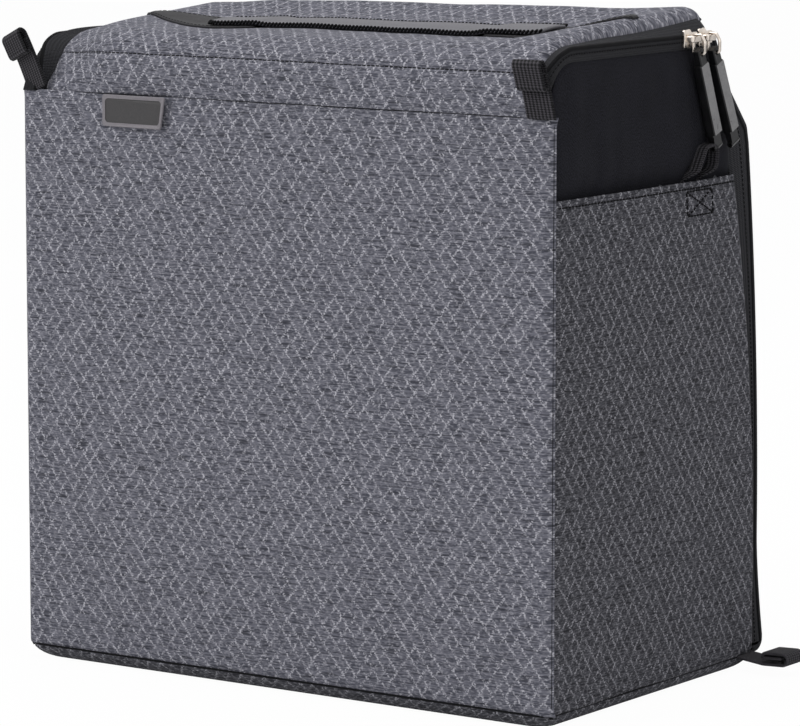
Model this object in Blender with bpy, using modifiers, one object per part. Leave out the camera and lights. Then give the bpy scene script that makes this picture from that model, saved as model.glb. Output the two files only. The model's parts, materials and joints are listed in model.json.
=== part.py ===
"""A padded camera bag insert with side pockets, a zipped lid and a zipped back door."""

import math

import bmesh
import bpy
from mathutils import Matrix, Vector

# Overall sizes, in metres. X runs along the front, Y to the back, Z up; the origin is the base's centre.
WIDTH = 0.312
DEPTH = 0.190
PANEL_TOP = 0.3105
SEAM_DROP = 0.0245
SEAM_Z = PANEL_TOP - SEAM_DROP
FRONT = -DEPTH / 2

# Layers of a wall, from the outside in, and the running gap between neighbours.
GAP = 0.0003
POCKET_CLOTH = 0.0010
TAPE = 0.0006
CLOTH = 0.0010
FOAM = 0.0070
LINING = 0.0008

# The box of the body: its rounded lower edges, the seam above them, and the edges of its side walls.
CORNER_R = 0.018
REAR_CORNER_R = 0.014
RIM_Z = 0.0073
TOP_FRONT_R = 0.020
TOP_REAR_R = 0.018
WALL_FOOT_IN, WALL_KNEE, WALL_LEAN = 0.0086, 0.098, 0.0357
POCKET_FOOT_IN, POCKET_KNEE, POCKET_LEAN = 0.0010, 0.050, 0.0440
WALL_FOOT = DEPTH - WALL_FOOT_IN
POCKET_FOOT = DEPTH - POCKET_FOOT_IN
POCKET_TOP = 0.2475
EDGE_FOLD = 0.0013
MITRE = 0.060
OVERRUN = 0.010
LINER_TOP_DROP = 0.0030

# The door at the back: the line of its outer face and its slanted top.
DOOR_FOOT_OUT, DOOR_KNEE, DOOR_LEAN = 0.0020, 0.070, 0.0120
DOOR_FOOT = DEPTH + DOOR_FOOT_OUT
DOOR_SHOULDER_DROP = 0.0485
DOOR_SHOULDER_Z = PANEL_TOP - DOOR_SHOULDER_DROP
DOOR_SIDE_IN = 0.0055
DOOR_HALF = WIDTH / 2 - DOOR_SIDE_IN
DOOR_BULGE, DOOR_BULGE_TOP, DOOR_BULGE_CURVE = 0.0062, 0.0650, 1.5
DOOR_TURN_Z, DOOR_TURN_R = 0.0150, 0.0060
DOOR_FOOT_Z, DOOR_FOOT_IN = 0.0070, 0.0045
DOOR_BOARD_Z = 0.0220
DOOR_SWELL = 0.0055
DOOR_COLUMN_SHARES = (0, 0.40, 0.70, 0.88, 0.96)
DOOR_AXIS_Z = 0.0120
SLANT_TOP_IN, SLANT_TOP_RISE = 0.0458, 0.0070
SLANT_MID_IN, SLANT_MID_DROP = 0.0295, 0.0225
SLANT_FOOT_IN, SLANT_FOOT_DROP = 0.0140, 0.0400
SLANT_R = 0.006
BAND_CLOTH = 0.0014

# The lid: a front band that folds at the seam and again below the top panel.
LID_ARC_R = 0.026
LID_OVER_PANEL = 0.0100
LID_TOP_FRONT = PANEL_TOP + LID_OVER_PANEL
LID_RISE = 0.0060
LID_BACK_IN = 0.0480
LID_BACK = DEPTH - LID_BACK_IN
LID_CROWN = 0.0060
LID_BACK_CROWN = 0.0020
LID_SIDE_IN, BAND_SIDE_IN, LID_FOAM_SIDE_IN = 0.0080, 0.0135, 0.0130
LID_HALF = WIDTH / 2 - LID_SIDE_IN
BAND_HALF = WIDTH / 2 - BAND_SIDE_IN
LID_FOAM_HALF = WIDTH / 2 - LID_FOAM_SIDE_IN
FOLD_DROP = 0.0145
FOLD_Z = LID_TOP_FRONT - FOLD_DROP
LID_FOAM_BACK_IN = 0.0030
LID_FOAM_BACK = LID_BACK - LID_FOAM_BACK_IN
HINGE_OUT = 0.0035
FOLD_OUT = 0.0050

# The side zips: the line of the coil, the lap of the tapes, and the coil itself.
ZIP_OVER_PANEL = 0.0065
ZIP_Z = PANEL_TOP + ZIP_OVER_PANEL
ZIP_CORNER_R = 0.007
ZIP_IN = 0.0035
ZIP_START = 0.0020
ZIP_FRONT_IN = 0.0075
ZIP_ARC_R = 0.021
ZIP_END_Z = 0.0185
TAPE_LAP = 0.0025
ZIP_SLIT = 0.0006
COIL_R = 0.0009

# Sliders, their bridges, rings and moulded pulls.
LID_SLIDER_IN, DOOR_SLIDER_IN = 0.0205, 0.0068
LID_SLIDER_Y = LID_BACK - LID_SLIDER_IN
DOOR_SLIDER_Y = LID_BACK - DOOR_SLIDER_IN
SLIDER_DROP = 0.0010
SLIDER_Z = ZIP_Z - SLIDER_DROP
SLIDER_LONG, SLIDER_NOSE, SLIDER_THICK = 0.0128, 0.0094, 0.0014
SLIDER_CORNER = 0.0007
SLIDER_NOTCH_SHARE = 0.80
SLIDER_CROWN_SHARES = ((-1, 1), (-0.62, 0.78), (-0.18, 1), (0.14, 0.60), (1, 0.66))
BRIDGE_WIDE, BRIDGE_THICK = 0.0026, 0.0008
BRIDGE_LONG, BRIDGE_R = 0.0088, 0.0014
BRIDGE_RISE = 0.0036
RING_WIRE = 0.0007
RING_TALL, RING_WIDE, RING_CORNER = 0.0095, 0.0063, 0.0012
LID_PULL_LEAN, DOOR_PULL_LEAN = math.radians(18), math.radians(24)
PULL_NECK_LONG, PULL_NECK_WIDE = 0.0075, 0.0056
PULL_GRIP_LONG, PULL_GRIP_WIDE, PULL_THICK = 0.0370, 0.0080, 0.0036
PULL_EYE_LONG, PULL_EYE_WIDE = 0.0080, 0.0066
PULL_EYE_R, PULL_EYE_HOLE = 0.0017, 0.0009
PULL_BORE = 0.0013
PULL_WALL = 0.0011
PULL_EYE_DROP = 0.0007
PULL_CORNER = 0.0009
PULL_CHAMFER = 0.0004

# Webbing: the tabs at the corners and the loops at the sides.
WEB = 0.0016
TAB_WIDE, TAB_HEAD = 0.0165, 0.0041
TAB_R = 0.0012
TAB_SIDE_IN = 0.0080
TAB_X = WIDTH / 2 - TAB_SIDE_IN
TAB_RIGHT_STRAP, TAB_RIGHT_HEAD, TAB_RIGHT_LEAN = 0.0115, 0.0110, math.radians(-17)
TAB_LEFT_STRAP, TAB_LEFT_HEAD, TAB_LEFT_LEAN = 0.0150, 0.0120, math.radians(-32)
REAR_TAB_SIDE_IN, REAR_TAB_BACK_IN, REAR_TAB_Z = 0.0050, 0.0100, 0.0034
REAR_TAB_X = WIDTH / 2 - REAR_TAB_SIDE_IN
REAR_TAB_Y = DEPTH - REAR_TAB_BACK_IN
REAR_TAB_STRAP, REAR_TAB_HEAD, REAR_TAB_THICK = 0.0190, 0.0155, 0.0070
LOOP_BACK_IN, LOOP_TALL, LOOP_SPAN = 0.0670, 0.0205, 0.0200
LOOP_Y = DEPTH - LOOP_BACK_IN
LOOP_WIDE = 0.0040
LOOP_R = 0.0052
LOOP_LEFT_SHARES = ((-0.52, 0), (-0.52, 0.10), (-0.40, 0.39), (0.325, 1))
LOOP_RIGHT_SHARES = ((1.30, 0.976), (0.75, 0.39), (0.46, 0.10), (0.46, 0))

# The label on the front, bare.
LABEL_SIDE_IN, LABEL_DROP = 0.0679, 0.0085
LABEL_X = -WIDTH / 2 + LABEL_SIDE_IN
LABEL_Z = SEAM_Z - LABEL_DROP
LABEL_LONG, LABEL_TALL, LABEL_THICK = 0.0372, 0.0152, 0.0012
LABEL_R, LABEL_FRAME, LABEL_DEEP = 0.0012, 0.0020, 0.0003

# The grab handle on the lid and the patches that hold its ends.
HANDLE_Y = 0.062
HANDLE_HALF = 0.0880
HANDLE_WIDE, HANDLE_THICK = 0.0285, 0.0022
HANDLE_ARCH = 0.0022
PATCH_LONG, PATCH_WIDE, PATCH_THICK, PATCH_LAP = 0.0560, 0.0360, 0.0011, 0.0120
PATCH_START_SHARE, PATCH_END_SHARE = 0.12, 0.92

# The padded dividers inside.
COLUMN_X = 0.0485
DIVIDER_FOAM = 0.0065
DIVIDER_FOOT, DIVIDER_FOOT_THICK = 0.0110, 0.0014
DIVIDER_DROP = 0.0120
DIVIDER_BACK = 0.0040
LOWER_SHELF, MIDDLE_SHELF, UPPER_SHELF = 0.1010, 0.1480, 0.1980
SHELF_FOOT = 0.0073

ARC_STEPS = 5
SMALL_ARC_STEPS = 2
SMALL_RADIUS = 0.0025
REAR_STEPS = 8
LID_COLUMNS = 10


def wall_rear(z, foot=WALL_FOOT, knee=WALL_KNEE, lean=WALL_LEAN):
    """Y of a side wall's rear edge, upright at its foot and leaning forward above its knee."""
    share = max(0, (z - knee) / (PANEL_TOP - knee))
    return FRONT + foot - lean * share ** 2


def pocket_rear(z):
    return wall_rear(z, POCKET_FOOT, POCKET_KNEE, POCKET_LEAN)


def door_outer(z):
    """Y of the door's outer face below its shoulder: leaning above the knee, bulging at the foot."""
    lean = max(0, (z - DOOR_KNEE) / (DOOR_SHOULDER_Z - DOOR_KNEE))
    bulge = max(0, (DOOR_BULGE_TOP - z) / (DOOR_BULGE_TOP - DOOR_TURN_Z))
    return FRONT + DOOR_FOOT - DOOR_LEAN * lean ** 2 + DOOR_BULGE * bulge ** DOOR_BULGE_CURVE


def between(low, high, steps):
    """Evenly spaced values from low to high, both included."""
    return [low + (high - low) * i / steps for i in range(steps + 1)]


def rounded(corners):
    """The outline through corners of (u, v, radius), each turned into an arc of its radius."""
    points = []
    for i, (u, v, radius) in enumerate(corners):
        here = Vector((u, v))
        if not radius:
            points.append(here)
            continue
        before = (Vector(corners[i - 1][:2]) - here).normalized()
        after = (Vector(corners[(i + 1) % len(corners)][:2]) - here).normalized()
        half = before.angle(after) / 2
        start = here + before * radius / math.tan(half)
        centre = here + (before + after).normalized() * radius / math.sin(half)
        arm = start - centre
        turn = (math.pi - 2 * half) * (1 if before.cross(after) < 0 else -1)
        steps = ARC_STEPS if radius > SMALL_RADIUS else SMALL_ARC_STEPS
        for share in between(0, 1, steps):
            points.append(centre + Matrix.Rotation(turn * share, 2) @ arm)
    return [tuple(p) for p in points]


def offset_line(line, distance):
    """An open line of (u, v) points moved sideways, to the right of its direction."""
    moved = []
    for i, point in enumerate(line):
        before = Vector(line[max(i - 1, 0)])
        after = Vector(line[min(i + 1, len(line) - 1)])
        along = (after - before).normalized()
        moved.append(tuple(Vector(point) + Vector((along.y, -along.x)) * distance))
    return moved


def strip(line, near, far):
    """The closed outline between two offsets of a line."""
    return offset_line(line, near) + offset_line(line, far)[::-1]


def clear_scene():
    for obj in list(bpy.data.objects):
        bpy.data.objects.remove(obj, do_unlink=True)


def collection(name):
    made = bpy.data.collections.new(name)
    bpy.context.scene.collection.children.link(made)
    return made


clear_scene()
PARTS = collection("camera_bag_insert")
CUTTERS = collection("cutters")


def material(name, colour, roughness, metallic=0):
    made = bpy.data.materials.new(name)
    made.use_nodes = True
    shader = made.node_tree.nodes["Principled BSDF"]
    shader.inputs["Base Color"].default_value = (*colour, 1)
    shader.inputs["Roughness"].default_value = roughness
    shader.inputs["Metallic"].default_value = metallic
    return made


OUTER = material("outer_fabric", (0.115, 0.120, 0.140), 0.90)
BLACK = material("black_fabric", (0.013, 0.013, 0.016), 0.92)
WEBBING = material("webbing", (0.020, 0.020, 0.022), 0.85)
ZIP = material("zip_tape", (0.026, 0.026, 0.030), 0.80)
PADDING = material("foam", (0.050, 0.050, 0.055), 0.95)
INNER = material("lining", (0.060, 0.060, 0.066), 0.90)
METAL = material("nickel", (0.520, 0.470, 0.420), 0.30, 1)
RUBBER = material("moulded_rubber", (0.030, 0.030, 0.032), 0.45)
STRAP = material("handle_strap", (0.085, 0.083, 0.086), 0.60)
BADGE = material("label_rubber", (0.150, 0.145, 0.150), 0.60)


def place(obj, home, slot=None):
    home.objects.link(obj)
    if slot:
        obj.data.materials.clear()
        obj.data.materials.append(slot)
    if home is CUTTERS:
        obj.hide_render = True
        obj.display_type = "WIRE"
    return obj


def baked(obj, name, home, slot=None):
    """A mesh object of the shape that obj has now, modifiers and all, in place of obj."""
    bpy.context.view_layer.update()
    graph = bpy.context.evaluated_depsgraph_get()
    mesh = bpy.data.meshes.new_from_object(obj.evaluated_get(graph))
    mesh.transform(obj.matrix_world)
    bpy.data.objects.remove(obj, do_unlink=True)
    shape = bmesh.new()
    shape.from_mesh(mesh)
    bmesh.ops.remove_doubles(shape, verts=shape.verts, dist=GAP / 100)
    bmesh.ops.recalc_face_normals(shape, faces=shape.faces)
    shape.to_mesh(mesh)
    shape.free()
    mesh.name = name
    return place(bpy.data.objects.new(name, mesh), home, slot)


FACING = {
    "X": Matrix(((0, 0, 1), (1, 0, 0), (0, 1, 0))).to_4x4(),
    "Y": Matrix(((1, 0, 0), (0, 0, -1), (0, 1, 0))).to_4x4(),
    "Z": Matrix.Identity(4),
}


def slab(name, outline, facing, low, high, slot=None, home=PARTS, chamfer=0):
    """A flat outline given thickness from low to high along the axis that it faces."""
    curve = bpy.data.curves.new(name, "CURVE")
    curve.dimensions = "2D"
    curve.fill_mode = "BOTH"
    curve.extrude = (high - low) / 2 - chamfer
    curve.bevel_depth = chamfer
    curve.bevel_resolution = 0
    curve.offset = -chamfer
    spline = curve.splines.new("POLY")
    spline.points.add(len(outline) - 1)
    for point, (u, v) in zip(spline.points, outline):
        point.co = (u, v, 0, 1)
    spline.use_cyclic_u = True
    flat = place(bpy.data.objects.new(name + "_outline", curve), PARTS)
    middle = (low + high) / 2 * (-1 if facing == "Y" else 1)
    flat.matrix_world = FACING[facing] @ Matrix.Translation((0, 0, middle))
    return baked(flat, name, home, slot)


def boolean(obj, other, operation):
    step = obj.modifiers.new(operation.lower(), "BOOLEAN")
    step.operation = operation
    step.object = other
    return obj


def cloth(name, rows, thickness, side, slot, home=PARTS):
    """A sheet through rows of points, given thickness on one side of it, or on both for side 0."""
    shape = bmesh.new()
    bmesh.ops.create_grid(shape, x_segments=len(rows[0]) - 1, y_segments=len(rows) - 1, size=1)
    shape.verts.ensure_lookup_table()
    for i, row in enumerate(rows):
        for j, point in enumerate(row):
            shape.verts[i * len(row) + j].co = point
    mesh = bpy.data.meshes.new(name)
    shape.to_mesh(mesh)
    shape.free()
    obj = place(bpy.data.objects.new(name, mesh), home, slot)
    solid = obj.modifiers.new("thickness", "SOLIDIFY")
    solid.thickness = thickness
    solid.offset = side
    solid.use_even_offset = True
    return obj


def pad(name, outer, inner, slot):
    """A closed board between two grids of points."""
    shape = bmesh.new()
    grids = [[[shape.verts.new(point) for point in row] for row in rows] for rows in (outer, inner)]
    for grid in grids:
        for low, high in zip(grid, grid[1:]):
            for i in range(len(low) - 1):
                shape.faces.new((low[i], low[i + 1], high[i + 1], high[i]))
    rims = [grid[0] + [row[-1] for row in grid[1:]] for grid in grids]
    backs = [grid[-1][::-1] + [row[0] for row in grid[::-1]][1:] for grid in grids]
    for near, far in (rims, backs):
        for i in range(len(near) - 1):
            shape.faces.new((near[i], near[i + 1], far[i + 1], far[i]))
    bmesh.ops.recalc_face_normals(shape, faces=shape.faces)
    mesh = bpy.data.meshes.new(name)
    shape.to_mesh(mesh)
    shape.free()
    return place(bpy.data.objects.new(name, mesh), PARTS, slot)


def tube(name, points, radius, slot, closed=False, home=PARTS):
    curve = bpy.data.curves.new(name, "CURVE")
    curve.dimensions = "3D"
    curve.bevel_depth = radius
    curve.bevel_resolution = 1
    curve.use_fill_caps = not closed
    spline = curve.splines.new("POLY")
    spline.points.add(len(points) - 1)
    for target, point in zip(spline.points, points):
        target.co = (*point, 1)
    spline.use_cyclic_u = closed
    return baked(place(bpy.data.objects.new(name + "_line", curve), PARTS), name, home, slot)


def joint(name, position):
    """An empty on a joint's axis, which carries the pieces that turn or slide with it."""
    empty = bpy.data.objects.new(name, None)
    empty.location = position
    empty.empty_display_size = HINGE_OUT
    PARTS.objects.link(empty)
    return empty


def carry(empty, *pieces):
    bpy.context.view_layer.update()
    for piece in pieces:
        piece.parent = empty
        piece.matrix_parent_inverse = empty.matrix_world.inverted()


def side_outline(rear, inset=0, trim=0):
    """A side wall seen from the side: inset at its front and base, trimmed at its open edges."""
    top = PANEL_TOP - trim
    foot = inset + REAR_CORNER_R
    rear_edge = [(rear(z) - trim, z, 0) for z in between(foot, top, REAR_STEPS)[1:-1]]
    return rounded([
        (FRONT + inset, inset, CORNER_R - inset),
        (rear(0) - trim, inset, REAR_CORNER_R - inset),
        *rear_edge,
        (rear(top) - trim, top, TOP_REAR_R),
        (FRONT + inset, top, TOP_FRONT_R - inset),
    ])


def hollow_outline(rear, inset):
    """What a wall's inside cuts away: inset at the front and base, and past the open edges."""
    past = PANEL_TOP + OVERRUN
    rear_edge = [(rear(z) + OVERRUN, z, 0) for z in between(0, past, REAR_STEPS)[1:]]
    return rounded([
        (FRONT + inset, inset, CORNER_R - inset),
        (rear(0) + OVERRUN, inset, 0),
        *rear_edge,
        (FRONT - OVERRUN, past, 0),
        (FRONT - OVERRUN, SEAM_Z, 0),
        (FRONT + inset, SEAM_Z, 0),
    ])


def body_shape(name, outline, inset, base):
    """A side outline run across the width, with the lower corners of the front view rounded too."""
    half = WIDTH / 2 - inset
    front_view = rounded([
        (-half, base, CORNER_R - base),
        (half, base, CORNER_R - base),
        (half, PANEL_TOP + 2 * OVERRUN, 0),
        (-half, PANEL_TOP + 2 * OVERRUN, 0),
    ])
    reach = DEPTH / 2 + 2 * OVERRUN
    deep = slab(name + "_front_view", front_view, "Y", -reach, reach, home=CUTTERS)
    whole = slab(name, outline, "X", -WIDTH / 2 - OVERRUN, WIDTH / 2 + OVERRUN, home=CUTTERS)
    boolean(whole, deep, "INTERSECT")
    done = baked(whole, name, CUTTERS)
    bpy.data.objects.remove(deep, do_unlink=True)
    return done


def copy_of(source, name, slot, home=PARTS):
    return place(bpy.data.objects.new(name, source.data.copy()), home, slot)


def front_region(name, low, high, short):
    """The room of the front wall, mitred at the corners."""
    half = WIDTH / 2 - short
    outline = [
        (-half - OVERRUN, FRONT - OVERRUN),
        (half + OVERRUN, FRONT - OVERRUN),
        (half - MITRE, FRONT + MITRE),
        (-half + MITRE, FRONT + MITRE),
    ]
    return slab(name, outline, "Z", low, high, home=CUTTERS)


def side_region(name, sign, low, high, short):
    """The room of one side wall, mitred at the front corner."""
    half = WIDTH / 2
    outline = [
        (sign * (half + OVERRUN), FRONT - OVERRUN + short),
        (sign * (half + OVERRUN), -FRONT + OVERRUN),
        (sign * (half - MITRE), -FRONT + OVERRUN),
        (sign * (half - MITRE), FRONT + MITRE + short),
    ]
    return slab(name, outline, "Z", low, high, home=CUTTERS)


def floor_region(name, high):
    half = WIDTH / 2 + OVERRUN
    outline = [(-half, -half), (half, -half), (half, half), (-half, half)]
    return slab(name, outline, "Z", -OVERRUN, high, home=CUTTERS)


SIDES = (("right", 1), ("left", -1))
SIDE_CLOTH_IN = POCKET_CLOTH + GAP + TAPE + GAP
SIDE_FOAM_IN = SIDE_CLOTH_IN + CLOTH + GAP
WALL_FOAM_IN = CLOTH + GAP
FLOOR_TOP = WALL_FOAM_IN + FOAM


def outer_covers():
    """Patterned cloth: the front, the base with its rolled rim, and a flat pocket on each side."""
    outside = body_shape("cover_outside", side_outline(pocket_rear), 0, 0)
    inside = body_shape("cover_inside", hollow_outline(pocket_rear, CLOTH), CLOTH, CLOTH)
    front = copy_of(outside, "front_cover", OUTER)
    boolean(front, inside, "DIFFERENCE")
    boolean(front, front_region("front_cover_room", RIM_Z, SEAM_Z - GAP, GAP), "INTERSECT")
    base = copy_of(outside, "base_cover", OUTER)
    boolean(base, inside, "DIFFERENCE")
    boolean(base, floor_region("base_cover_room", RIM_Z - GAP), "INTERSECT")
    for side, sign in SIDES:
        pocket = copy_of(outside, "side_pocket_" + side, OUTER)
        boolean(pocket, inside, "DIFFERENCE")
        room = side_region("pocket_room_" + side, sign, RIM_Z, POCKET_TOP, 0)
        boolean(pocket, room, "INTERSECT")


def side_covers():
    """The plain black side walls that show above the pockets, down to the rounded lower corner."""
    inset = CLOTH + GAP
    rear_edge = [(wall_rear(z), z, 0) for z in between(CORNER_R, PANEL_TOP, REAR_STEPS)[:-1]]
    outline = rounded([
        (FRONT + inset, CORNER_R, 0),
        *rear_edge,
        (wall_rear(PANEL_TOP), PANEL_TOP, TOP_REAR_R),
        (FRONT + inset, PANEL_TOP, TOP_FRONT_R - inset),
    ])
    for side, sign in SIDES:
        outer = sign * (WIDTH / 2 - SIDE_CLOTH_IN)
        inner = outer - sign * CLOTH
        slab("side_cover_" + side, outline, "X", min(outer, inner), max(outer, inner), BLACK)


def wall_foam():
    """Foam boards behind every cover, mitred where they meet and standing on the base board."""
    outline = side_outline(wall_rear, WALL_FOAM_IN, EDGE_FOLD)
    outside = body_shape("foam_outside", outline, SIDE_FOAM_IN, WALL_FOAM_IN)
    inset = WALL_FOAM_IN + FOAM
    inside = body_shape("foam_inside", hollow_outline(wall_rear, inset), SIDE_FOAM_IN + FOAM, inset)
    front = copy_of(outside, "front_foam", PADDING)
    boolean(front, inside, "DIFFERENCE")
    step = SIDE_FOAM_IN - WALL_FOAM_IN
    region = front_region("front_foam_room", FLOOR_TOP + GAP, SEAM_Z - GAP, step + GAP)
    boolean(front, region, "INTERSECT")
    for side, sign in SIDES:
        board = copy_of(outside, "side_foam_" + side, PADDING)
        boolean(board, inside, "DIFFERENCE")
        region = side_region("side_foam_room_" + side, sign, FLOOR_TOP + GAP, PANEL_TOP + OVERRUN, step)
        boolean(board, region, "INTERSECT")


def base_foam():
    outline = side_outline(pocket_rear, WALL_FOAM_IN, EDGE_FOLD)
    whole = body_shape("base_foam_shape", outline, SIDE_FOAM_IN, WALL_FOAM_IN)
    board = copy_of(whole, "base_foam", PADDING)
    boolean(board, floor_region("base_foam_room", FLOOR_TOP), "INTERSECT")


LINER_IN = WALL_FOAM_IN + FOAM + GAP
LINER_SIDE_IN = SIDE_FOAM_IN + FOAM + GAP


def liner():
    """The brushed loop lining, one open box inside the foam."""
    outline = side_outline(wall_rear, LINER_IN, EDGE_FOLD)
    outside = body_shape("liner_outside", outline, LINER_SIDE_IN, LINER_IN)
    inset = LINER_IN + LINING
    inside = body_shape("liner_inside", hollow_outline(wall_rear, inset), LINER_SIDE_IN + LINING, inset)
    lining = copy_of(outside, "liner", INNER)
    boolean(lining, inside, "DIFFERENCE")
    half = WIDTH / 2 + OVERRUN
    low, high = SEAM_Z - LINER_TOP_DROP, PANEL_TOP + OVERRUN
    near, far = FRONT - OVERRUN, FRONT + inset + GAP
    outline = [(-half, near), (half, near), (half, far), (-half, far)]
    clear = slab("liner_front_gap", outline, "Z", low, high, home=CUTTERS)
    boolean(lining, clear, "DIFFERENCE")


def lid_line(share):
    """(y, z, half width) of the lid's outer face: 0 is the seam, 1 the end of the front arc, 2 the back."""
    centre_y, centre_z = FRONT + LID_ARC_R, LID_TOP_FRONT - LID_ARC_R
    if share <= 1:
        height = centre_z - SEAM_Z - GAP
        run = height + LID_ARC_R * math.pi / 2
        along = share * run
        if along < height:
            return FRONT, SEAM_Z + GAP + along, BAND_HALF
        angle = (along - height) / LID_ARC_R
        wide = BAND_HALF + (LID_HALF - BAND_HALF) * math.sin(angle)
        return centre_y - LID_ARC_R * math.cos(angle), centre_z + LID_ARC_R * math.sin(angle), wide
    back = share - 1
    return centre_y + (FRONT + LID_BACK - centre_y) * back, LID_TOP_FRONT + LID_RISE * back, LID_HALF


def fold_share():
    """The place on lid_line where the lid folds away from its front band."""
    centre_z = LID_TOP_FRONT - LID_ARC_R
    height = centre_z - SEAM_Z - GAP
    angle = math.asin((FOLD_Z - centre_z) / LID_ARC_R)
    return (height + angle * LID_ARC_R) / (height + LID_ARC_R * math.pi / 2)


def crown(x, back):
    """How far the padded top stands above its edges: most in the middle, least at the front."""
    along = LID_BACK_CROWN * back + (LID_CROWN - LID_BACK_CROWN) * math.sin(math.pi * back)
    return max(0, along) * (1 - (x / LID_HALF) ** 2)


def lid_row(share, drop=0, half=None):
    """One row of lid points from left to right, with the crown of the padded top."""
    y, z, wide = lid_line(share)
    wide = half or wide
    back = max(0, share - 1)
    return [(x, y, z + crown(x, back) - drop) for x in between(-wide, wide, LID_COLUMNS)]


def share_at(y):
    """The place on lid_line, past the front arc, of a distance from the front."""
    return 1 + (y - LID_ARC_R) / (LID_BACK - LID_ARC_R)


def lid():
    fold = fold_share()
    split = GAP / LID_ARC_R
    band = cloth("front_band", [lid_row(s) for s in between(0, fold - split, ARC_STEPS)], CLOTH, -1, OUTER)
    shares = between(fold + split, 1, ARC_STEPS) + between(1, 2, ARC_STEPS)[1:]
    cover = cloth("lid_cover", [lid_row(s) for s in shares], CLOTH, -1, OUTER)
    first, last = share_at(LID_ARC_R), share_at(LID_FOAM_BACK)
    under = CLOTH + 2 * GAP
    rows = [lid_row(s, under, LID_FOAM_HALF) for s in between(first, last, ARC_STEPS)]
    board = cloth("lid_foam", rows, FOAM, -1, PADDING)
    under += FOAM + GAP
    rows = [lid_row(s, under, LID_FOAM_HALF) for s in between(first, last, ARC_STEPS)]
    lining = cloth("lid_lining", rows, LINING, -1, INNER)
    return [band], [cover, board, lining]


def door_line(bottom, foot=()):
    """(y, z) of the door's outer face, from its top edge down to a height, and then its foot."""
    levels = between(bottom, DOOR_BULGE_TOP, ARC_STEPS)
    levels += between(DOOR_BULGE_TOP, DOOR_SHOULDER_Z, REAR_STEPS)[1:]
    down = [(door_outer(z), z, 0) for z in levels[::-1]]
    slant = [
        (-FRONT - SLANT_TOP_IN + DOOR_FOOT_OUT, PANEL_TOP + SLANT_TOP_RISE, 0),
        (-FRONT - SLANT_MID_IN + DOOR_FOOT_OUT, PANEL_TOP - SLANT_MID_DROP, 0),
        (-FRONT - SLANT_FOOT_IN + DOOR_FOOT_OUT, PANEL_TOP - SLANT_FOOT_DROP, SLANT_R),
    ]
    return rounded([*slant, *down, *foot])


def coil_rear():
    """(y, z) of the zip's coil down the door."""
    return offset_line(door_line(ZIP_END_Z), ZIP_IN)


def coil_line():
    """(y, z) of the zip's coil: along the top, round the corner and down the door."""
    rear = coil_rear()
    (y0, z0), (y1, z1) = rear[:2]
    corner = y0 + (y1 - y0) * (ZIP_Z - z0) / (z1 - z0)
    start = (FRONT + TOP_FRONT_R, ZIP_Z, 0)
    return rounded([start, (corner, ZIP_Z, ZIP_CORNER_R), *[(y, z, 0) for y, z in rear[1:]]])


def wall_edge_line():
    """(y, z) along the open edge of a side wall, point for point beside coil_line."""
    rear = [(wall_rear(z) + GAP, z, 0) for y, z in coil_rear()[1:]]
    top = PANEL_TOP + GAP
    start = (FRONT + TOP_FRONT_R, top, 0)
    return rounded([start, (wall_rear(top) + GAP, top, TOP_REAR_R), *rear])


ZIP_X = WIDTH / 2 - POCKET_CLOTH - GAP - TAPE / 2


def toward(here, there, distance):
    step = Vector(there) - Vector(here)
    return Vector(here) + step.normalized() * distance


def front_rails():
    """Points (x, y, z) of the zip's wall edge, coil and lid edge, from the front seam to the top."""
    rails = ([], [], [])
    low = SEAM_Z + ZIP_START
    for share in [0, *between(0, 1, ARC_STEPS)]:
        turn = share * math.pi / 2
        start = not rails[0]
        wall_z = PANEL_TOP + GAP - TOP_FRONT_R * (1 - math.sin(turn))
        coil_z = ZIP_Z - ZIP_ARC_R * (1 - math.sin(turn))
        lid_z = LID_TOP_FRONT - TAPE - LID_ARC_R * (1 - math.sin(turn))
        rails[0].append((ZIP_X, FRONT + TOP_FRONT_R * (1 - math.cos(turn)), low if start else wall_z))
        coil_x = ZIP_X - ZIP_FRONT_IN * (1 - math.sin(turn))
        coil_y = FRONT + ZIP_ARC_R * (1 - math.cos(turn))
        rails[1].append((coil_x, coil_y, low if start else coil_z))
        wide = BAND_HALF + (LID_HALF - BAND_HALF) * math.sin(turn) + 2 * GAP
        rails[2].append((wide, FRONT + LID_ARC_R * (1 - math.cos(turn)), low if start else lid_z))
    return rails


def mirrored(points, sign):
    return [(sign * x, y, z) for x, y, z in points]


def tape(name, rails, sign):
    """A zip tape through its rails, on one side of the body."""
    rows = [mirrored(row, sign) for row in zip(*rails)]
    return cloth(name, rows, TAPE, 0, ZIP)


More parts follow.
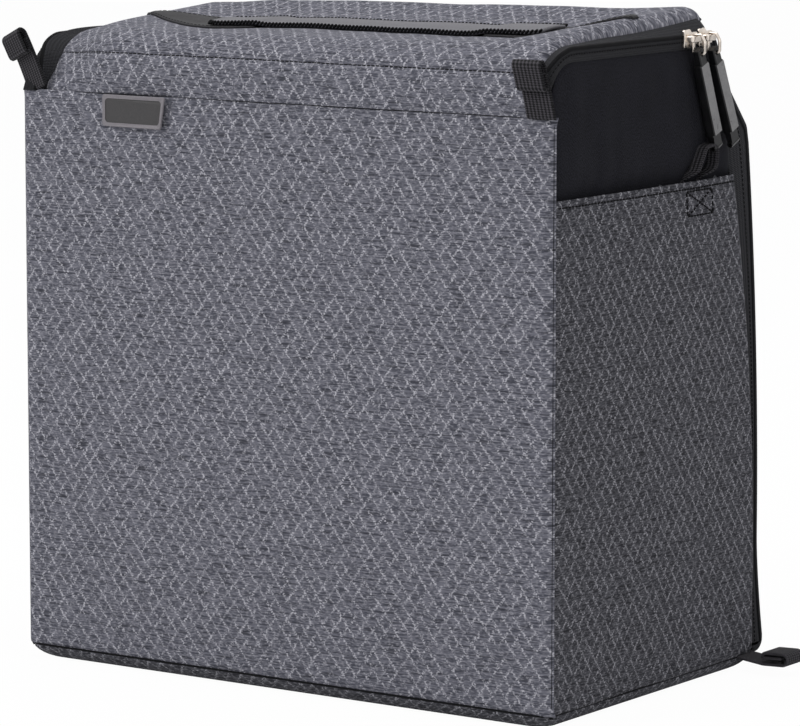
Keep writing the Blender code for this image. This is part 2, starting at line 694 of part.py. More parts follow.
def zip_tapes(sign, side):
    """The body's tape runs the whole way; the band, the lid and the door each hold part of the other."""
    wall, coil, top = front_rails()
    wall_side = wall + [(ZIP_X, y, z) for y, z in wall_edge_line()[1:]]
    coil_side = coil + [(ZIP_X, y, z) for y, z in coil_line()[1:]]
    body = [toward(c, w, ZIP_SLIT) for w, c in zip(wall_side, coil_side)]
    tape("zip_tape_body_" + side, (wall_side, body), sign)
    fold = next(i for i, point in enumerate(top) if point[2] > FOLD_Z)
    inner = [toward(c, t, ZIP_SLIT) for c, t in zip(coil, top)]
    share = (FOLD_Z - top[fold - 1][2]) / (top[fold][2] - top[fold - 1][2])
    cut = [Vector(rail[fold - 1]).lerp(Vector(rail[fold]), share) for rail in (inner, top)]
    ends = [toward(c, rail[fold - 1], GAP) for c, rail in zip(cut, (inner, top))]
    starts = [toward(c, rail[fold], GAP) for c, rail in zip(cut, (inner, top))]
    band = tape("zip_tape_band_" + side, (inner[:fold] + ends[:1], top[:fold] + ends[1:]), sign)
    lid_inner, lid_outer = starts[:1] + inner[fold:], starts[1:] + top[fold:]
    reach = coil_line()[1][0]
    for share in between(0, 1, ARC_STEPS)[1:]:
        y, z, wide = lid_line(1 + share)
        lid_inner.append((ZIP_X, min(y, reach), ZIP_Z + ZIP_SLIT))
        lid_outer.append((wide + 2 * GAP, y, z - TAPE))
    on_lid = tape("zip_tape_lid_" + side, (lid_inner, lid_outer), sign)
    line = door_line(ZIP_END_Z)
    inner_line = offset_line(line, ZIP_IN - ZIP_SLIT)
    rails = (
        [(ZIP_X, y, z) for y, z in inner_line],
        [(ZIP_X, y, z) for y, z in line],
        [(DOOR_HALF - TAPE_LAP, y, z) for y, z in line],
    )
    on_door = tape("zip_tape_door_" + side, rails, sign)
    behind = ZIP_X - TAPE / 2 - GAP - COIL_R
    points = [(sign * behind, y, z) for y, z in offset_line(coil_line(), COIL_R + TAPE)]
    tube("zip_coil_" + side, points, COIL_R, ZIP)
    return band, on_lid, on_door


def door_rows(line, depth, swell):
    """Rows of points at a depth under the door's outer face, swollen between its edges."""
    flat, full = offset_line(line, depth), offset_line(line, depth - swell)
    free = DOOR_HALF - TAPE_LAP - GAP
    right = [free * share for share in DOOR_COLUMN_SHARES] + [free, DOOR_HALF]
    columns = [-x for x in right[:0:-1]] + right
    rows = []
    for (y0, z0), (y1, z1) in zip(flat, full):
        level = (z0 - DOOR_BOARD_Z) / (DOOR_SHOULDER_Z - DOOR_BOARD_Z)
        up = max(0, 1 - (2 * level - 1) ** 8)
        shares = [up * max(0, 1 - (x / free) ** 8) for x in columns]
        rows.append([(x, y0 + (y1 - y0) * s, z0 + (z1 - z0) * s) for x, s in zip(columns, shares)])
    return rows


def door():
    """The padded back door: cover, foam and lining, with an unpadded band over its slanted top."""
    turn = (door_outer(DOOR_TURN_Z), DOOR_FOOT_Z, DOOR_TURN_R)
    whole = door_line(DOOR_TURN_Z, (turn, (-FRONT - DOOR_FOOT_IN + DOOR_FOOT_OUT, DOOR_FOOT_Z, 0)))
    board = door_line(DOOR_BOARD_Z)
    shoulder = next(i for i, (y, z) in enumerate(board) if z < DOOR_SHOULDER_Z + GAP)
    slanted = board[:shoulder + 1]
    depth = TAPE / 2 + GAP
    rows = door_rows(whole[shoulder:], depth, DOOR_SWELL)
    cover = cloth("door_cover", rows, CLOTH, -1, OUTER)
    depth += CLOTH + 2 * GAP
    outer = door_rows(board[shoulder:], depth, DOOR_SWELL)
    inner = door_rows(board[shoulder:], depth + FOAM, 0)
    foam = pad("door_foam", outer, inner, PADDING)
    depth += FOAM + GAP
    outline = strip(board[shoulder:], depth, depth + LINING)
    layers = [cover, foam, slab("door_lining", outline, "X", -DOOR_HALF, DOOR_HALF, INNER)]
    slanted = [*slanted[:-1], tuple(toward((*slanted[-1], 0), (*slanted[-2], 0), 2 * GAP)[:2])]
    near = TAPE / 2 + GAP
    outline = strip(slanted, near, near + BAND_CLOTH)
    layers.append(slab("door_top_band", outline, "X", -DOOR_HALF, DOOR_HALF, OUTER))
    return layers


def slider(name, sign, y):
    """A cast slider: a plate with a lobed, notched nose, and the flat bridge that the ring hangs from."""
    half, tall = SLIDER_LONG / 2, SLIDER_NOSE / 2
    lower = [(y + u * half, SLIDER_Z - v * tall, SLIDER_CORNER) for u, v in SLIDER_CROWN_SHARES]
    upper = [(y + u * half, SLIDER_Z + v * tall, SLIDER_CORNER) for u, v in SLIDER_CROWN_SHARES[::-1]]
    notch = (y - half * SLIDER_NOTCH_SHARE, SLIDER_Z, SLIDER_CORNER)
    low = ZIP_X + TAPE / 2 + GAP
    edges = sorted((sign * low, sign * (low + SLIDER_THICK)))
    plate = slab(name, rounded([*lower, *upper, notch]), "X", *edges, METAL)
    root = low + SLIDER_THICK / 2
    near, far = y - BRIDGE_LONG / 2, y + BRIDGE_LONG / 2
    line = rounded([(root, near, 0), (BRIDGE_X, near, BRIDGE_R), (BRIDGE_X, far, BRIDGE_R), (root, far, 0)])
    outline = [(sign * x, v) for x, v in strip(line, -BRIDGE_THICK / 2, BRIDGE_THICK / 2)]
    levels = SLIDER_Z - BRIDGE_WIDE / 2, SLIDER_Z + BRIDGE_WIDE / 2
    bridge = slab(name + "_bridge", outline, "Z", *levels, home=CUTTERS)
    return boolean(plate, bridge, "UNION")


BRIDGE_X = ZIP_X + TAPE / 2 + GAP + SLIDER_THICK + BRIDGE_RISE
RING_CLEAR = BRIDGE_WIDE / 2 + GAP + RING_WIRE
RING_X = BRIDGE_X - RING_CLEAR


def ring(name, sign, y):
    """A wire ring hooked round the bridge, hanging in the plane across the zip."""
    inner = RING_X
    outer = inner + RING_WIDE
    top = SLIDER_Z + RING_CLEAR
    outline = rounded([
        (inner, top - RING_TALL, RING_CORNER),
        (outer, top - RING_TALL, RING_CORNER),
        (outer, top, RING_CORNER),
        (inner, top, RING_CORNER),
    ])
    points = [(sign * x, y, z) for x, z in outline]
    return tube(name, points, RING_WIRE, METAL, closed=True)


def pull(name, sign, y, lean):
    """The moulded pull: a neck on the ring, a flat grip and an eyelet that is bored from its edge."""
    top = SLIDER_Z + RING_CLEAR - RING_TALL
    neck, grip, eye = PULL_NECK_WIDE / 2, PULL_GRIP_WIDE / 2, PULL_EYE_WIDE / 2
    start = PULL_BORE + PULL_WALL
    shoulder = start - PULL_NECK_LONG
    step = shoulder - PULL_GRIP_LONG
    eye_centre = step - PULL_EYE_LONG + PULL_EYE_R
    eye_x = -PULL_EYE_DROP / 2
    outline = rounded([
        (-neck, start, PULL_CORNER),
        (-neck, shoulder, 0),
        (-grip, shoulder, PULL_CORNER),
        (-grip, step, 0),
        (-eye, step, 0),
        (-eye, eye_centre, 0),
        (eye, eye_centre, 0),
        (eye, step, 0),
        (grip, step, 0),
        (grip, shoulder, PULL_CORNER),
        (neck, shoulder, 0),
        (neck, start, PULL_CORNER),
    ])
    body = slab(name, outline, "X", -PULL_THICK / 2, PULL_THICK / 2, RUBBER, chamfer=PULL_CHAMFER)
    through = (-PULL_THICK, PULL_THICK)
    slot = tube(name + "_slot", [(x, 0, 0) for x in through], PULL_BORE, None, home=CUTTERS)
    boolean(body, slot, "DIFFERENCE")
    past = grip + GAP
    cut_top = step + PULL_EYE_DROP
    low = step - PULL_EYE_LONG - GAP
    outline = [(-past, low), (past, low), (past, cut_top), (-past, cut_top)]
    face = PULL_THICK / 2
    step_cut = slab(name + "_step", outline, "X", face - PULL_EYE_DROP, face + PULL_THICK, home=CUTTERS)
    boolean(body, step_cut, "DIFFERENCE")
    line = [(eye_x, v, eye_centre) for v in (-eye - PULL_CHAMFER, eye + PULL_CHAMFER)]
    barrel = tube(name + "_barrel", line, PULL_EYE_R, None, home=CUTTERS)
    boolean(body, barrel, "UNION")
    line = [(eye_x, v, eye_centre) for v in (-past, past)]
    hole = tube(name + "_eye", line, PULL_EYE_HOLE, None, home=CUTTERS)
    boolean(body, hole, "DIFFERENCE")
    place = Matrix.Translation((sign * (RING_X + RING_WIDE / 2), y, top))
    turned = place @ Matrix.Rotation(lean, 4, "X")
    if sign < 0:
        turned = turned @ Matrix.Rotation(math.pi, 4, "Z") @ Matrix.Scale(-1, 4, (0, 1, 0))
    for piece in (body, slot, barrel, hole, step_cut):
        piece.matrix_world = turned
    bpy.context.view_layer.update()
    return baked(body, name, PARTS, RUBBER)


def tab_section(strap, head, thick):
    """A webbing strap seen edge-on, folded over into a thicker head at its end."""
    start = thick / 2
    return rounded([
        (0, GAP, 0),
        (strap + head, GAP, TAB_R),
        (strap + head, GAP + thick, start - GAP / 2),
        (strap, GAP + thick, TAB_R),
        (strap, GAP + WEB, 0),
        (0, GAP + WEB, 0),
    ])


def tab(name, strap, head, thick, matrix):
    """A tab built along its own X axis, with its thickness towards Z, then set in its place."""
    outline = tab_section(strap, head, thick)
    piece = slab(name, outline, "Y", -TAB_WIDE / 2, TAB_WIDE / 2, WEBBING)
    piece.matrix_world = matrix
    bpy.context.view_layer.update()
    return baked(piece, name, PARTS, WEBBING)


def tabs():
    """Pull tabs in the seam at both front corners, and at the foot of both zips at the back."""
    stand = Matrix(((0, 1, 0), (0, 0, -1), (1, 0, 0))).to_4x4()
    low = SEAM_Z + ZIP_START + TAPE
    made = []
    for name, x, strap, head, lean in (
        ("front_tab_right", TAB_X, TAB_RIGHT_STRAP, TAB_RIGHT_HEAD, TAB_RIGHT_LEAN),
        ("front_tab_left", -TAB_X, TAB_LEFT_STRAP, TAB_LEFT_HEAD, TAB_LEFT_LEAN),
    ):
        matrix = Matrix.Translation((x, FRONT - TAPE / 2, low)) @ Matrix.Rotation(lean, 4, "Y") @ stand
        made.append(tab(name, strap, head, TAB_HEAD, matrix))
    for side, sign in SIDES:
        foot = (sign * REAR_TAB_X, FRONT + REAR_TAB_Y, REAR_TAB_Z)
        matrix = Matrix.Translation(foot) @ Matrix.Diagonal((sign, 1, 1, 1))
        made.append(tab("rear_tab_" + side, REAR_TAB_STRAP, REAR_TAB_HEAD, REAR_TAB_THICK, matrix))
    return made


def side_loop(name, sign):
    """A loop of webbing standing on the pocket's edge, leaning back."""
    foot = FRONT + LOOP_Y, POCKET_TOP + GAP
    line = rounded([
        (foot[0] + u * LOOP_SPAN, foot[1] + v * LOOP_TALL, LOOP_R if v else 0)
        for u, v in LOOP_LEFT_SHARES + LOOP_RIGHT_SHARES
    ])
    low = WIDTH / 2 - SIDE_CLOTH_IN + GAP
    edges = sorted((sign * low, sign * (low + LOOP_WIDE)))
    return slab(name, strip(line, 0, WEB), "X", *edges, WEBBING)


def label():
    """A small moulded label with a raised frame and a bare field."""
    half, tall = LABEL_LONG / 2, LABEL_TALL / 2

    def field(shrink, radius):
        corners = ((-1, -1), (1, -1), (1, 1), (-1, 1))
        return rounded([
            (LABEL_X + u * (half - shrink), LABEL_Z + v * (tall - shrink), radius)
            for u, v in corners
        ])

    back = FRONT - GAP
    body = slab("front_label", field(0, LABEL_R), "Y", back - LABEL_THICK, back, BADGE)
    inside = field(LABEL_FRAME, LABEL_R)
    face = back - LABEL_THICK
    cut = slab("label_field", inside, "Y", face - LABEL_THICK, face + LABEL_DEEP, home=CUTTERS)
    return boolean(body, cut, "DIFFERENCE")


def lid_height(x, y):
    """Z of the lid's outer face at a place on its flat top."""
    back = (y - FRONT - LID_ARC_R) / (LID_BACK - LID_ARC_R)
    return LID_TOP_FRONT + LID_RISE * back + crown(x, back)


def handle():
    """A flat grab handle along the lid, laid on it, with a leaf-shaped patch at each end."""
    middle = FRONT + HANDLE_Y
    rows = []
    for y in between(middle - HANDLE_WIDE / 2, middle + HANDLE_WIDE / 2, 2):
        row = []
        for x in between(-HANDLE_HALF, HANDLE_HALF, LID_COLUMNS):
            arch = HANDLE_ARCH * (1 - (x / HANDLE_HALF) ** 2)
            row.append((x, y, lid_height(x, y) + PATCH_THICK + 2 * GAP + arch))
        rows.append(row)
    strap = cloth("grab_handle", rows, HANDLE_THICK, 1, STRAP)
    patches = []
    for side, sign in SIDES:
        rows = []
        for share in between(0, 1, LID_COLUMNS):
            x = sign * (HANDLE_HALF - PATCH_LAP + PATCH_LONG * share)
            turn = PATCH_START_SHARE + (PATCH_END_SHARE - PATCH_START_SHARE) * share
            half = PATCH_WIDE / 2 * math.sin(math.pi * turn)
            rows.append([(x, y, lid_height(x, y) + GAP) for y in between(middle - half, middle + half, 2)])
        patches.append(cloth("handle_patch_" + side, rows, PATCH_THICK, -sign, STRAP))
    return strap, patches


def dividers():
    """Padded dividers held on the lining: two columns from base to lid, and shelves between them."""
    inset = LINER_IN + LINING + GAP
    side_in = LINER_SIDE_IN + LINING + GAP
    room = side_outline(wall_rear, inset, DIVIDER_BACK)
    room_shape = body_shape("divider_room", room, side_in, inset)
    front = FRONT + inset
    half, foot, toe = DIVIDER_FOAM / 2, DIVIDER_FOOT, DIVIDER_FOOT_THICK
    top = PANEL_TOP - DIVIDER_DROP
    for side, sign in SIDES:
        x = sign * COLUMN_X
        plan = [
            (x - foot, front - OVERRUN), (x + foot, front - OVERRUN), (x + foot, front + toe),
            (x + half, front + toe), (x + half, -FRONT), (x - half, -FRONT),
            (x - half, front + toe), (x - foot, front + toe),
        ]
        column = slab("column_divider_" + side, plan, "Z", -OVERRUN, top, INNER)
        boolean(column, room_shape, "INTERSECT")
    reach = WIDTH / 2 - side_in
    near = COLUMN_X + half + GAP
    for side, sign in SIDES:
        ends = sorted((sign * near, sign * reach))
        shelf("shelf_%s_lower" % side, ends, LOWER_SHELF, room_shape)
        shelf("shelf_%s_upper" % side, ends, UPPER_SHELF, room_shape)
    inner = COLUMN_X - half - GAP
    shelf("shelf_middle", (-inner, inner), MIDDLE_SHELF, room_shape)


def shelf(name, ends, z, room_shape):
    """A short divider with a turned-up foot at each end."""
    low, high = ends
    half, foot, thick = DIVIDER_FOAM / 2, SHELF_FOOT, DIVIDER_FOOT_THICK
    front_view = [
        (low, z - half), (high, z - half), (high, z + foot), (high - thick, z + foot),
        (high - thick, z + half), (low + thick, z + half), (low + thick, z + foot), (low, z + foot),
    ]
    start = FRONT + LINER_IN + LINING + GAP + DIVIDER_FOOT_THICK + GAP
    board = slab(name, front_view, "Y", start, -FRONT, INNER)
    boolean(board, room_shape, "INTERSECT")
    return board


def assemble():
    outer_covers()
    side_covers()
    wall_foam()
    base_foam()
    liner()
    label()
    dividers()
    band_pieces, lid_pieces = lid()
    door_pieces = door()
    for side, sign in SIDES:
        band, on_lid, on_door = zip_tapes(sign, side)
        band_pieces.append(band)
        lid_pieces.append(on_lid)
        door_pieces.append(on_door)
    strap, patches = handle()
    lid_pieces += patches
    band_empty = joint("band_axis", (0, FRONT - HINGE_OUT, SEAM_Z))
    lid_empty = joint("lid_axis", (0, FRONT - FOLD_OUT, FOLD_Z))
    door_empty = joint("door_axis", (0, FRONT + DOOR_FOOT, DOOR_AXIS_Z))
    carry(band_empty, *band_pieces, lid_empty)
    carry(lid_empty, *lid_pieces)
    carry(door_empty, *door_pieces)
    handle_empty = joint("handle_rise", (0, FRONT + HANDLE_Y, lid_height(0, FRONT + HANDLE_Y)))
    carry(handle_empty, strap)
    carry(lid_empty, handle_empty)
    places = (("lid", LID_SLIDER_Y, LID_PULL_LEAN), ("door", DOOR_SLIDER_Y, DOOR_PULL_LEAN))
    for owner, y, lean in places:
        for side, sign in SIDES:
            cast = slider("%s_slider_%s" % (owner, side), sign, FRONT + y)
            hook = ring("%s_ring_%s" % (owner, side), sign, FRONT + y)
            grip = pull("%s_pull_%s" % (owner, side), sign, FRONT + y, lean)
            home = joint(cast.name + "_home", (sign * ZIP_X, FRONT + y, SLIDER_Z))
            swing = joint(grip.name + "_axis", (sign * BRIDGE_X, FRONT + y, SLIDER_Z))
            carry(home, cast, swing)
            carry(swing, hook, grip)
    right, left, rear_right, rear_left = tabs()
    for piece, sign in ((right, 1), (left, -1)):
        foot = joint(piece.name + "_axis", (sign * TAB_X, FRONT, SEAM_Z))
        carry(foot, piece)
        carry(band_empty, foot)
    for piece, sign in ((rear_right, 1), (rear_left, -1)):
        foot = joint(piece.name + "_axis", (sign * REAR_TAB_X, FRONT + REAR_TAB_Y, REAR_TAB_Z))
        carry(foot, piece)
    for side, sign in SIDES:
        piece = side_loop("side_loop_" + side, sign)
        foot = joint(piece.name + "_axis", (sign * WIDTH / 2, FRONT + LOOP_Y, POCKET_TOP))
        carry(foot, piece)


assemble()
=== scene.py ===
"""The dressed camera bag insert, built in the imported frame: cloth, padding, zips, webbing and metal."""

import json
import math

import bmesh
import bpy
import numpy as np
from mathutils import Matrix, Vector, noise

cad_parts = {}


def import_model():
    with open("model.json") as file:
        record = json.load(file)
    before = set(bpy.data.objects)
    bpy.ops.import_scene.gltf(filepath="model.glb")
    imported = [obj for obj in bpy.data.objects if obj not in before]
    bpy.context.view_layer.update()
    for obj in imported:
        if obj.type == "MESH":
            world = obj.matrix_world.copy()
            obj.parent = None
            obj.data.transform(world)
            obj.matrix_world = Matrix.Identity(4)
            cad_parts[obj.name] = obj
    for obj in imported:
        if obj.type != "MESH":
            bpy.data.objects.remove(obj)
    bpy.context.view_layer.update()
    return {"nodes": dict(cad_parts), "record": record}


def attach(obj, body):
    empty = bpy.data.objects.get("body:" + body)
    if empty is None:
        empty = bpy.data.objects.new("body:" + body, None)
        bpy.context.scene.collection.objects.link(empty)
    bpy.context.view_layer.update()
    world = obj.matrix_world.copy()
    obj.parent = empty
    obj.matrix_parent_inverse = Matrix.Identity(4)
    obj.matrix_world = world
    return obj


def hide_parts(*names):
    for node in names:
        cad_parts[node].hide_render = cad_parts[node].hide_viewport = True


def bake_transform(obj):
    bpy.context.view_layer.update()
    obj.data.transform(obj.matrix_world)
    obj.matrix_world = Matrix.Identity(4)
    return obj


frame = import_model()
NODES = frame["nodes"]

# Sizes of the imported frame, in metres. Y values count from the front.
HALF = 0.156
FRONT = -0.095
PANEL_TOP = 0.3105
SEAM_Z = 0.286
RIM_Z = 0.0073
CORNER_R = 0.0105
REAR_CORNER_R = 0.0110
POCKET_TOP = 0.2475
WALL_R_FRONT, WALL_R_REAR = 0.020, 0.018
DOOR_SHOULDER_Z = 0.262
DOOR_HALF = 0.1505
DOOR_TURN_Z, DOOR_TURN_R, DOOR_FOOT_Z, DOOR_FOOT_Y = 0.015, 0.006, 0.007, 0.1875
DOOR_BULGE_TOP = 0.065
LID_R = 0.026
LID_TOP = 0.3205
LID_RISE = 0.0060
LID_BACK = 0.142
LID_HALF, BAND_HALF = 0.148, 0.1425
FOLD_Z = 0.306
ZIP_X, ZIP_Z, ZIP_IN, ZIP_R = 0.1544, 0.317, 0.0035, 0.007
ZIP_ARC_R, ZIP_FRONT_IN, ZIP_END_Z = 0.021, 0.0075, 0.0125
SLIDER_Z = 0.316
TAB_WIDE = 0.0150

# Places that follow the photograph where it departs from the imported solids.
LABEL_X, LABEL_Z = -0.0832, 0.2775
HANDLE_Y, HANDLE_HALF, HANDLE_WIDE = 0.090, 0.0985, 0.0285

# How the sewn cloth departs from the flat panels of the frame.
ROLL = 0.005
PUFF = 0.0020
CLOTH = 0.0010
TAPE = 0.0007
SEAM_DIP = 0.0009
SEAM_TURN = 1.15
SEAM_BACK = ROLL * (1 - math.cos(SEAM_TURN))
HEM_Z = 0.2445
BASE_BACK = 0.189
TUBE_STEP = 0.003
WEB = 0.0015


def wall_rear(z):
    return FRONT + 0.1814 - 0.0357 * max(0, (z - 0.098) / 0.2125) ** 2


def pocket_rear(z):
    return FRONT + 0.1864 - 0.0394 * max(0, (z - 0.05) / 0.2605) ** 2


def door_outer(z):
    lean = max(0, (z - 0.07) / 0.192)
    bulge = max(0, (DOOR_BULGE_TOP - z) / (DOOR_BULGE_TOP - DOOR_TURN_Z))
    return FRONT + 0.192 - 0.012 * lean ** 2 + 0.0062 * bulge ** 1.5


def dip(distance, width, depth):
    """A soft groove of that width and depth along a seam."""
    return depth * math.exp(-(distance / width) ** 2)


def smooth(value, low, high):
    """A soft step from 0 at low to 1 at high."""
    share = np.clip((value - low) / (high - low), 0, 1)
    return share * share * (3 - 2 * share)


# The left front corner has sunk: (how far back, how far down, reach back, reach down, level where it starts).
SUNK_LID = (0.0165, 0.0075, 0.055, 0.060, 0.280)
SUNK_SIDE = (0.0090, 0.0065, 0.045, 0.060, 0.282)
SAG = 0.0030


def settled(points, sunk):
    """Points moved with the soft left front corner."""
    back, down, far_back, far_down, low = sunk
    points = np.array(points, float)
    depth, z = points[..., 1] - FRONT, points[..., 2]
    near = smooth(-points[..., 0], 0.098, 0.148)
    moved = points.copy()
    moved[..., 1] += near * back * smooth(z, low, low + 0.026) * np.exp(-(depth / far_back) ** 2)
    moved[..., 2] -= near * down * smooth(z, low + 0.018, low + 0.038) * np.exp(-(depth / far_down) ** 2)
    if sunk is SUNK_SIDE:
        along = smooth(depth, 0.030, 0.080) * (1 - smooth(depth, 0.130, 0.160))
        moved[..., 2] -= near * SAG * smooth(z, 0.296, 0.312) * along
    return moved


def ripple(x, y, z, size, seed=0):
    """Smooth uneven rise and fall of soft cloth, between -1 and 1."""
    return noise.noise(Vector((x / size + seed, y / size - seed, z / size + 2 * seed)))


def places(low, high, step, edge=0.0012):
    """Values from low to high about a step apart, with one close to each end."""
    count = max(2, int(math.ceil((high - low - 2 * edge) / step)))
    inner = np.linspace(low + edge, high - edge, count)
    return np.concatenate(([low], inner, [high]))


def rounded(corners, steps=9):
    """The outline through corners of (u, v, radius), each turned into an arc of its radius."""
    points = []
    for i, (u, v, radius) in enumerate(corners):
        here = Vector((u, v))
        if not radius:
            points.append(here)
            continue
        before = (Vector(corners[i - 1][:2]) - here).normalized()
        after = (Vector(corners[(i + 1) % len(corners)][:2]) - here).normalized()
        half = before.angle(after) / 2
        start = here + before * radius / math.tan(half)
        centre = here + (before + after).normalized() * radius / math.sin(half)
        turn = (math.pi - 2 * half) * (1 if before.cross(after) < 0 else -1)
        for share in np.linspace(0, 1, steps):
            points.append(centre + Matrix.Rotation(turn * share, 2) @ (start - centre))
    return [tuple(p) for p in points]


def offset_line(line, distance):
    """An open line of (u, v) points moved to the right of its direction."""
    moved = []
    for i, point in enumerate(line):
        along = Vector(line[min(i + 1, len(line) - 1)]) - Vector(line[max(i - 1, 0)])
        along.normalize()
        moved.append(tuple(Vector(point) + Vector((along.y, -along.x)) * distance))
    return moved


def resampled(line, step):
    """The same line with points about a step apart."""
    points = np.array(line, float)
    run = np.concatenate(([0], np.cumsum(np.linalg.norm(np.diff(points, axis=0), axis=1))))
    at = np.linspace(0, run[-1], max(2, int(run[-1] / step) + 1))
    return np.stack([np.interp(at, run, points[:, k]) for k in range(points.shape[1])], 1)


# Meshes.


def mesh_object(name, verts, faces, mat, uv=None, smooth=True):
    mesh = bpy.data.meshes.new(name)
    mesh.from_pydata([tuple(v) for v in verts], [], faces)
    mesh.materials.append(mat)
    if uv is not None:
        layer = mesh.uv_layers.new(name="cloth")
        index = np.empty(len(mesh.loops), int)
        mesh.loops.foreach_get("vertex_index", index)
        layer.uv.foreach_set("vector", np.array(uv, np.float32)[index].ravel())
    mesh.polygons.foreach_set("use_smooth", [smooth] * len(mesh.polygons))
    mesh.update()
    obj = bpy.data.objects.new(name, mesh)
    bpy.context.scene.collection.objects.link(obj)
    return obj


def grid_uv(points):
    """Where each point of a grid lies on the flat cloth, in metres."""
    across = np.linalg.norm(np.diff(points, axis=1), axis=2)
    u = np.concatenate((np.zeros((len(points), 1)), np.cumsum(across, axis=1)), 1)
    u -= u.mean(axis=1, keepdims=True)
    up = np.linalg.norm(np.diff(points, axis=0), axis=2).mean(axis=1)
    v = np.concatenate(([0], np.cumsum(up)))
    return np.stack([u, np.repeat(v[:, None], points.shape[1], 1)], 2)


def sheet(name, rows, thick, mat, uv=None, flip=False):
    """A cloth with rounded edges whose outer face runs through rows of points."""
    points = np.array(rows, float)
    if uv is None:
        uv = grid_uv(points)
    if flip:
        points, uv = points[:, ::-1], uv[:, ::-1]
    across, up = np.gradient(points, axis=1), np.gradient(points, axis=0)
    out = np.cross(across, up)
    out /= np.linalg.norm(out, axis=2, keepdims=True) + 1e-12
    count_r, count_c = points.shape[:2]
    inner = points - out * thick
    number = np.arange(count_r * count_c).reshape(count_r, count_c)
    a, b, c, d = number[:-1, :-1], number[:-1, 1:], number[1:, 1:], number[1:, :-1]
    faces = np.stack([a, b, c, d], 2).reshape(-1, 4).tolist()
    back = number.size
    faces += (np.stack([d, c, b, a], 2).reshape(-1, 4) + back).tolist()
    loop = [(0, j) for j in range(count_c)] + [(i, count_c - 1) for i in range(1, count_r)]
    loop += [(count_r - 1, j) for j in range(count_c - 2, -1, -1)]
    loop += [(i, 0) for i in range(count_r - 2, 0, -1)]
    middle = []
    for i, j in loop:
        away = np.zeros(3)
        if i in (0, count_r - 1):
            away += up[i, j] / (np.linalg.norm(up[i, j]) + 1e-12) * (1 if i else -1)
        if j in (0, count_c - 1):
            away += across[i, j] / (np.linalg.norm(across[i, j]) + 1e-12) * (1 if j else -1)
        middle.append((points[i, j] + inner[i, j]) / 2 + away * abs(thick) * 0.4)
    start = 2 * back
    for k, (i, j) in enumerate(loop):
        m, n = loop[(k + 1) % len(loop)]
        here, there = number[i, j], number[m, n]
        mid, next_mid = start + k, start + (k + 1) % len(loop)
        faces.append((int(here), mid, next_mid, int(there)))
        faces.append((mid, int(here) + back, int(there) + back, next_mid))
    flat = uv.reshape(-1, 2)
    edge_uv = np.array([uv[i, j] for i, j in loop])
    verts = np.concatenate((points.reshape(-1, 3), inner.reshape(-1, 3), np.array(middle)))
    return mesh_object(name, verts, faces, mat, np.concatenate((flat, flat, edge_uv)))


def tube(name, line, radius, mat, closed=False, sides=8, squeeze=1.0, up=(0, 0, 1)):
    """A round or oval cord along a line of points."""
    points = np.array(line, float)
    count = len(points)
    verts, faces, uv = [], [], []
    run = 0
    for i, point in enumerate(points):
        after = points[(i + 1) % count] if closed or i < count - 1 else point
        before = points[i - 1] if closed or i else point
        along = Vector(after - before).normalized()
        side = along.cross(Vector(up))
        if side.length < 1e-4:
            side = along.cross(Vector((0, 1, 0)))
        side.normalize()
        high = side.cross(along)
        run += float(np.linalg.norm(point - before)) if i else 0
        for k in range(sides):
            turn = 2 * math.pi * k / sides
            out = side * math.cos(turn) * radius
            verts.append(Vector(point) + out + high * math.sin(turn) * radius * squeeze)
            uv.append((run, turn * radius))
    last = count if closed else count - 1
    for i in range(last):
        for k in range(sides):
            a, b = i * sides + k, i * sides + (k + 1) % sides
            c = ((i + 1) % count) * sides
            faces.append((a, b, c + (k + 1) % sides, c + k))
    if not closed:
        faces.append(tuple(range(sides - 1, -1, -1)))
        faces.append(tuple((count - 1) * sides + k for k in range(sides)))
    return mesh_object(name, verts, faces, mat, uv)


def stitches(name, lines, mat, pitch=0.0030, length=0.0021, radius=0.00028):
    """Rows of short thread stitches along lines of points."""
    verts, faces = [], []
    for line in lines:
        points = resampled(line, pitch)
        for here, there in zip(points[:-1], points[1:]):
            along = Vector(there - here).normalized()
            side = along.orthogonal().normalized()
            high = side.cross(along)
            middle = Vector((here + there) / 2)
            start = len(verts)
            for share, wide in ((-1, 0.3), (-0.7, 1), (0.7, 1), (1, 0.3)):
                for k in range(5):
                    turn = 2 * math.pi * k / 5
                    spoke = side * math.cos(turn) + high * math.sin(turn)
                    verts.append(middle + along * share * length / 2 + spoke * radius * wide)
            for ring in range(3):
                for k in range(5):
                    a = start + ring * 5
                    faces.append((a + k, a + (k + 1) % 5, a + 5 + (k + 1) % 5, a + 5 + k))
            faces.append(tuple(start + k for k in range(4, -1, -1)))
            faces.append(tuple(start + 15 + k for k in range(5)))
    return mesh_object(name, verts, faces, mat)


def applied(obj):
    """The object with its modifiers turned into mesh."""
    bpy.context.view_layer.update()
    graph = bpy.context.evaluated_depsgraph_get()
    mesh = bpy.data.meshes.new_from_object(obj.evaluated_get(graph))
    obj.modifiers.clear()
    old = obj.data
    obj.data = mesh
    bpy.data.meshes.remove(old)
    return obj


